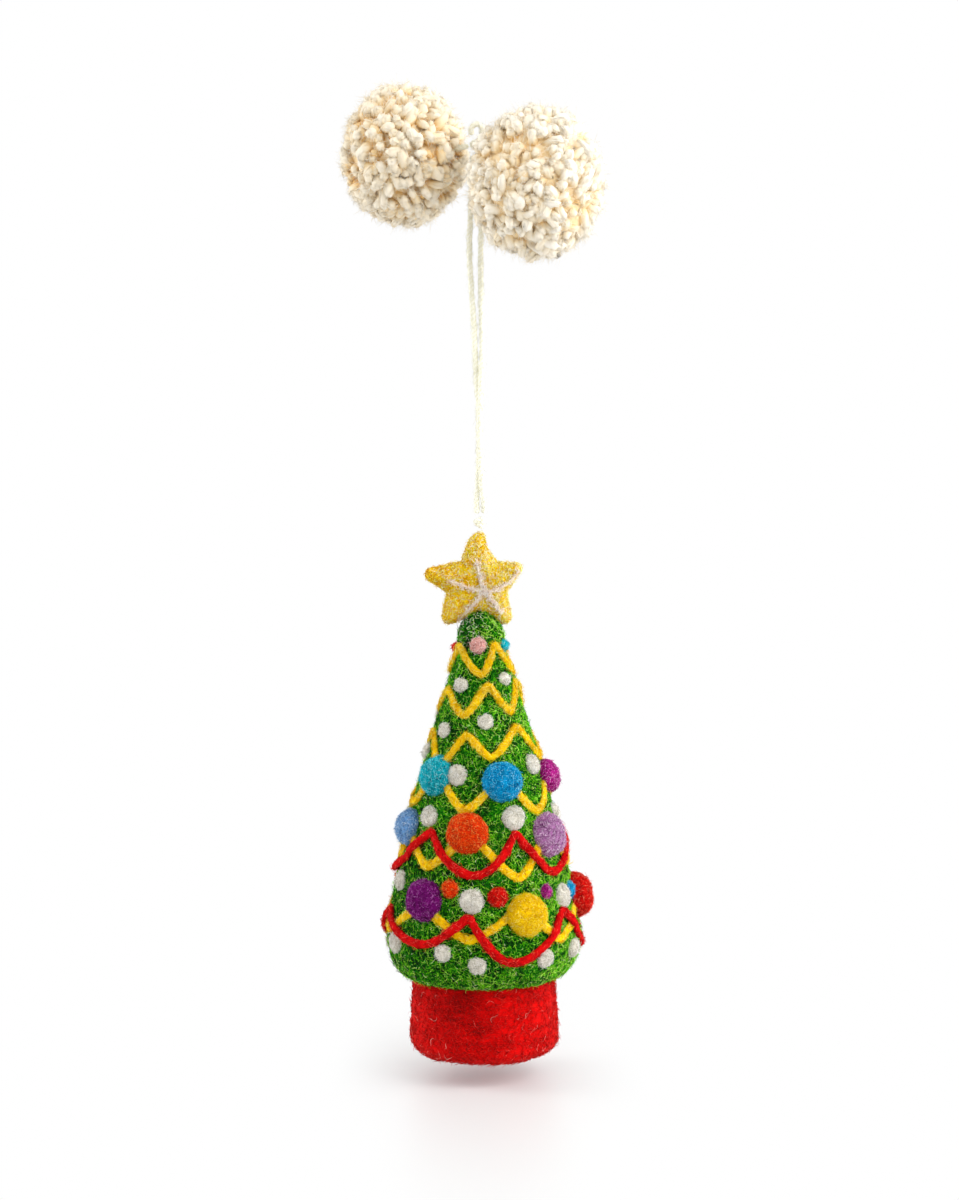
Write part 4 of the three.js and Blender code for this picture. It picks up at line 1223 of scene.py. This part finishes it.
def add_hang_loop():
    rng = np.random.default_rng(405)
    low, high = (np.array(corner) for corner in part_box("hang_loop"))
    across = high[0] - YARN_DIAMETER / 2
    turn = np.linspace(math.pi, 0, BIGHT_POINTS)
    height = high[2] - YARN_DIAMETER / 2 - across
    bight = [(across * math.cos(t), 0, height + across * math.sin(t)) for t in turn]
    line = smooth_line([(-across, 0, low[2]), *bight, (across, 0, low[2])], LOOP_STEP)
    loop = Gathered()
    loop.add(*yarn_tube(line), 0, 0.5)
    add_fuzz(loop, line, LOOP_FUZZ, rng, 0.5)
    loop.piece("hang_loop", "hanger", "yarn", "hang_loop")


top_knot = add_knot("top_knot", "upper_knot", 401)
lower_knot = add_knot("lower_knot", "lower_knot", 402)
add_strand("yarn_left", LEFT_ROUTE, 403)
add_strand("yarn_right", RIGHT_ROUTE, 404)
add_hang_loop()


# Pompoms: tufts of cut plied yarn round the middle that the tie holds

POMPOM_LEFT_MIDDLE = np.array((-17.6, 9, -6.2)) * MM
POMPOM_RIGHT_MIDDLE = np.array((13.7, -11, -13.6)) * MM
POMPOM_LEFT_RADIUS = 16 * MM
POMPOM_RIGHT_RADIUS = 17 * MM
POMPOM_TALLNESS = 1.12
CORE_SHARE = 0.81
CORE_ROWS, CORE_COLUMNS = 32, 48
CORE_LUMPS, CORE_PATCHES = (0.06, 3 * MM), (0.15, 1.5 * MM)
# Wisps are on average 0.2 paler than the strands they leave: painted light that shines through the
# fringe
TUFT_DARKNESS, TUFT_SHADES, STRAND_SHADES, WISP_PAINTED_GLOW_TONES = 0.05, 0.07, 0.06, (0.2, 0.1)
PARTING = math.radians(9)
TOP_KNOT = np.array((0, 0, -4.2)) * MM
TUFT_COUNT = 720
TUFT_POINTS = 8
TUFT_FOOT_SHARE = 0.66
TUFT_END_SHARES = (0.88, 0.98)
TUFT_BEND = math.radians(15)
BEND_SPREAD, BEND_GROWTH = (0.1, 1.8), 1.3
CLUMP_SIZE, CLUMP_LEAN, CLUMP_REACH, OWN_LEAN = 0.5, 0.8, 0.04, 0.7
GIRTH_SPREAD = (0.8, 1.25)
TUFT_CURL, TUFT_WAVES = 0.07, 0.6
TUFT_RADIUS = 1.08 * MM
TUFT_TAPER = np.array([0.7, 0.85, 1.0, 1.05, 1.0, 0.85])
DARK_TUFTS, DARK_SHADE = 0.12, 0.25
STRANDS_PER_TUFT = 8
STRAND_RADIUS = 0.12 * MM
STRAND_TURNS = 0.4
# Painted shade by depth in the pompom: the depth where the tan gives way to the pale ends, over
# what span, and by how much
PAINTED_SHADE_FROM, PAINTED_SHADE_SPAN, PAINTED_SHADE_CONTRAST = 0.8, 0.16, 0.68
WISP_COUNT = 20000
WISP_POINTS = 4
WISP_RADIUS = 0.045 * MM
WISP_LENGTHS_MM = (0.8, 2.4)
WISP_SPLAY_MM = 0.5
WISP_OUTWARD, WISP_HEADING_SPREAD, WISP_SPLAY_SPREAD = 0.3, 0.7, 0.9
TIE_FROM_KNOT = 2.3 * MM
TIE_END_SHARE = 0.25


def pompom_ways(count, to_knot, rng):
    """Headings spread evenly all round, but for a parting where the tie comes in."""
    golden = math.pi * (3 - math.sqrt(5))
    index = np.arange(count)
    up = 1 - (2 * index + 1) / count
    level = np.sqrt(1 - up * up)
    ways = np.stack([level * np.cos(golden * index), level * np.sin(golden * index), up], axis=-1)
    ways = unit(ways + rng.normal(0, 0.06, ways.shape))
    return ways[dot(ways, to_knot)[:, 0] < math.cos(PARTING)]


def tuft_paths(ways, middle, radius, tall, seed, rng):
    """Curved lines outwards from a pompom's core, which lean together in clumps."""
    count = len(ways)
    clump = np.stack([lumps(ways, CLUMP_SIZE, seed + axis) for axis in range(3)], axis=-1)
    lean = CLUMP_LEAN * clump + rng.normal(0, OWN_LEAN, ways.shape)
    lean = unit(lean - ways * dot(lean, ways))
    share = np.linspace(0, 1, TUFT_POINTS)
    end = rng.uniform(*TUFT_END_SHARES, (count, 1)) + CLUMP_REACH * clump[:, :1]
    reach = TUFT_FOOT_SHARE + (end - TUFT_FOOT_SHARE) * share
    reach[:, -1] = reach[:, -2] + 0.3 * (reach[:, -1] - reach[:, -2])
    waves = TURN * share * TUFT_WAVES + rng.uniform(0, TURN, (count, 1))
    curl = TUFT_CURL * np.sin(waves)
    bend = TUFT_BEND * rng.uniform(*BEND_SPREAD, (count, 1)) * share**BEND_GROWTH
    tufts = unit(ways[:, None] + lean[:, None] * np.tan(bend)[..., None])
    tufts = unit(tufts + np.cross(ways, lean)[:, None] * (curl * share)[..., None])
    return middle + tufts * reach[..., None] * radius * tall


def strand_paths(paths, radii, pick, rng):
    """Strands wound over the tufts that pick names."""
    along = unit(np.gradient(paths, axis=1))[pick]
    across = unit(np.cross(along, unit(rng.normal(size=(len(paths), 1, 3)))[pick]))
    wound = TURN * STRAND_TURNS * np.linspace(0, 1, TUFT_POINTS)
    turn = rng.uniform(0, TURN, (len(pick), 1)) + wound
    bulk = np.concatenate([radii[:, :1], radii, radii[:, -1:] * 0.8], axis=1)[pick]
    spread = bulk * rng.uniform(0.8, 1.1, (len(pick), 1))
    return rim_places(paths[pick], across, np.cross(along, across), turn, spread)


def wisp_paths(strands, rng):
    """Loose fibres that leave the strands near their cut ends."""
    pick = rng.integers(0, len(strands), WISP_COUNT)
    ring = rng.integers(4, TUFT_POINTS - 1, WISP_COUNT)
    along = unit(strands[pick, ring + 1] - strands[pick, ring - 1])
    outward = rng.normal(size=(WISP_COUNT, 3))
    outward = unit(outward - along * dot(outward, along))
    start = strands[pick, ring] + outward * 0.6 * STRAND_RADIUS
    length = rng.uniform(*WISP_LENGTHS_MM, (WISP_COUNT, 1, 1)) * MM
    share = np.linspace(0, 1, WISP_POINTS)[None, :, None]
    heading = along + WISP_OUTWARD * outward + rng.normal(0, WISP_HEADING_SPREAD, outward.shape)
    heading = unit(heading)[:, None]
    splay = (outward + rng.normal(0, WISP_SPLAY_SPREAD, outward.shape))[:, None]
    splay = splay * WISP_SPLAY_MM * MM
    return start[:, None] + heading * length * share + splay * share**2


def add_pompom(side, middle, radius, paleness, seed):
    rng = np.random.default_rng(seed)
    body = f"pompom_{side}"
    tall = np.array((1, 1, POMPOM_TALLNESS))
    to_knot = unit(TOP_KNOT - middle)

    def painted_depth_tones(places, shades):
        """Painted shade and light by depth: tan deep among the tufts and almost white at the cut
        ends, plus each thread's shade.
        """
        depth = np.linalg.norm((places - middle) / tall, axis=-1) / radius
        tones = paleness + PAINTED_SHADE_CONTRAST * smooth_step((depth - PAINTED_SHADE_FROM) / PAINTED_SHADE_SPAN)
        return tones + np.repeat(shades, len(places) // len(shades))

    ball = Gathered()
    polar = np.linspace(0, math.pi, CORE_ROWS)
    core = np.stack([np.sin(polar), np.cos(polar)], axis=-1) * CORE_SHARE * radius
    places, faces, maps = lathe(core, CORE_COLUMNS)
    places = places * tall * layered(places, (*CORE_LUMPS, seed), base=1)[:, None] + middle
    # The core is tan: painted shade deep inside the pompom
    ball.add(places, faces, maps, layered(places, (*CORE_PATCHES, seed), base=0.25), 0, 0.1)

    ways = pompom_ways(TUFT_COUNT, to_knot, rng)
    count = len(ways)
    paths = tuft_paths(ways, middle, radius, tall, seed, rng)
    radii = TUFT_RADIUS * rng.uniform(*GIRTH_SPREAD, (count, 1)) * TUFT_TAPER
    shades = rng.normal(0, TUFT_SHADES, count) - DARK_SHADE * (rng.random(count) < DARK_TUFTS)
    made = threads(paths, radii, rng, sides=9, plies=3, turns=0.5, relief=0.14)
    ball.add(*made, painted_depth_tones(made[0], shades - TUFT_DARKNESS), 0.1, 0.4)

    pick = np.repeat(np.arange(count), STRANDS_PER_TUFT)
    strands = strand_paths(paths, radii, pick, rng)
    width = STRAND_RADIUS * rng.uniform(*WIDTH_SPREAD, (len(pick), 1))
    made = threads(strands, width * np.ones(TUFT_POINTS - 2), rng)
    shades = shades[pick] + rng.normal(0, STRAND_SHADES, len(pick))
    ball.add(*made, painted_depth_tones(made[0], shades), 0.4, 1)
    ball.piece(body, body, "pompom_yarn", body)

    wisps = wisp_paths(strands, rng)
    made = threads(wisps, fibre_radii(wisps, WISP_RADIUS, rng), rng)
    coat = Gathered()
    coat.add(*made, painted_depth_tones(made[0], rng.normal(*WISP_PAINTED_GLOW_TONES, WISP_COUNT)))
    coat.piece(f"{body}_fibres", body, "pompom_yarn")

    start = TOP_KNOT - to_knot * TIE_FROM_KNOT
    end = middle + to_knot * TIE_END_SHARE * radius
    line = smooth_line([start, (start + end) / 2, end], TIE_STEP)
    tie = Gathered()
    tie.add(*yarn_tube(line), 0, 0.6)
    add_fuzz(tie, line, TIE_FUZZ, rng, 0.6)
    tie.piece(f"pompom_tie_{side}", body, "yarn", f"pompom_tie_{side}")


add_pompom("left", POMPOM_LEFT_MIDDLE, POMPOM_LEFT_RADIUS, 0.08, 501)
add_pompom("right", POMPOM_RIGHT_MIDDLE, POMPOM_RIGHT_RADIUS, 0.26, 502)


# The wool and yarn inside, which keep their solids

for node, slot in (
    ("cone_wool_core", "core_wool"), ("pot_wool_core", "core_wool"),
    ("inner_yarn", "yarn"), ("anchor_knot", "yarn"),
):
    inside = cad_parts[node]
    inside.data.materials.clear()
    inside.data.materials.append(wools[slot])


# Floor, lights and background: a lamp has a place, an aim, a size and its watts

FLOOR_SIZE = 6
FLOOR_HEIGHT = cad_low.z - 6 * MM
FLOOR_SURFACE = {
    "Base Color": (0.74, 0.74, 0.74, 1), "Roughness": 0.4, "Specular IOR Level": 0.6,
}
SHADOW_OVAL = (4, 1, 1)
SHADOW_FADE = {"From Min": 0.03, "From Max": 0.16, "To Min": 0.14}
WHITE = (1, 1, 1, 1)
SKY_STRENGTH = 0.69
TREE_MIDDLE = (0, 0, -0.11)
LAMPS = {
    "key_right": ((1.0, -0.75, 0.75), TREE_MIDDLE, (0.9, 0.9), 14),
    "side_right": ((1.2, -0.05, 0.1), TREE_MIDDLE, (0.6, 0.9), 9),
    "rim_left": ((-1.1, 0.1, 0.35), TREE_MIDDLE, (0.6, 0.9), 8.5),
    "soft_above": ((0.12, -0.3, 0.2), (0, 0, -0.02), (0.25, 0.25), 0.12),
}


def add_floor():
    bpy.ops.mesh.primitive_plane_add(size=FLOOR_SIZE, location=(0, 0, FLOOR_HEIGHT))
    floor = bpy.context.object
    floor.name = "floor"
    material = bpy.data.materials.new("white_floor")
    material.use_nodes = True
    tree = material.node_tree
    shader = tree.nodes["Principled BSDF"]
    set_inputs(tree, shader, FLOOR_SURFACE)
    white = add_node(tree, "Emission", {"Strength": 1.0})
    place = add_node(tree, "TexCoord", {}, "Object")
    oval = add_node(tree, "VectorMath", {0: place, 1: SHADOW_OVAL}, operation="MULTIPLY")
    length = add_node(tree, "VectorMath", {0: oval}, "Value", operation="LENGTH")
    fade = {"Value": length, **SHADOW_FADE}
    fade = add_node(tree, "MapRange", fade, interpolation_type="SMOOTHSTEP")
    camera_ray = add_node(tree, "LightPath", {}, "Is Camera Ray")
    seen = add_node(tree, "Math", {0: fade, 1: camera_ray}, operation="MULTIPLY")
    blend = add_node(tree, "MixShader", {"Fac": seen, 1: shader.outputs["BSDF"], 2: white})
    set_inputs(tree, tree.nodes["Material Output"], {"Surface": blend})
    floor.data.materials.append(material)


def add_world():
    world = bpy.data.worlds.new("studio")
    bpy.context.scene.world = world
    world.use_nodes = True
    tree = world.node_tree
    soft = tree.nodes["Background"]
    set_inputs(tree, soft, {"Color": WHITE, "Strength": SKY_STRENGTH})
    white = add_node(tree, "Background", {"Color": WHITE})
    ray = add_node(tree, "LightPath", {}).node.outputs
    seen = ray["Is Camera Ray"]
    for other in ("Is Glossy Ray", "Is Transmission Ray"):
        seen = add_node(tree, "Math", {0: seen, 1: ray[other]}, operation="MAXIMUM")
    blend = add_node(tree, "MixShader", {"Fac": seen, 1: soft.outputs["Background"], 2: white})
    set_inputs(tree, tree.nodes["World Output"], {"Surface": blend})


def add_softbox(name, place, aim, size, power):
    data = bpy.data.lights.new(name, "AREA")
    data.shape = "RECTANGLE"
    data.size, data.size_y = size
    data.energy = power
    lamp = bpy.data.objects.new(name, data)
    lamp.location = place
    lamp.rotation_mode = "QUATERNION"
    lamp.rotation_quaternion = (Vector(aim) - Vector(place)).to_track_quat("-Z", "Y")
    bpy.context.scene.collection.objects.link(lamp)


add_floor()
add_world()
for name, settings in LAMPS.items():
    add_softbox(name, *settings)
bpy.context.scene.view_settings.view_transform = "Standard"
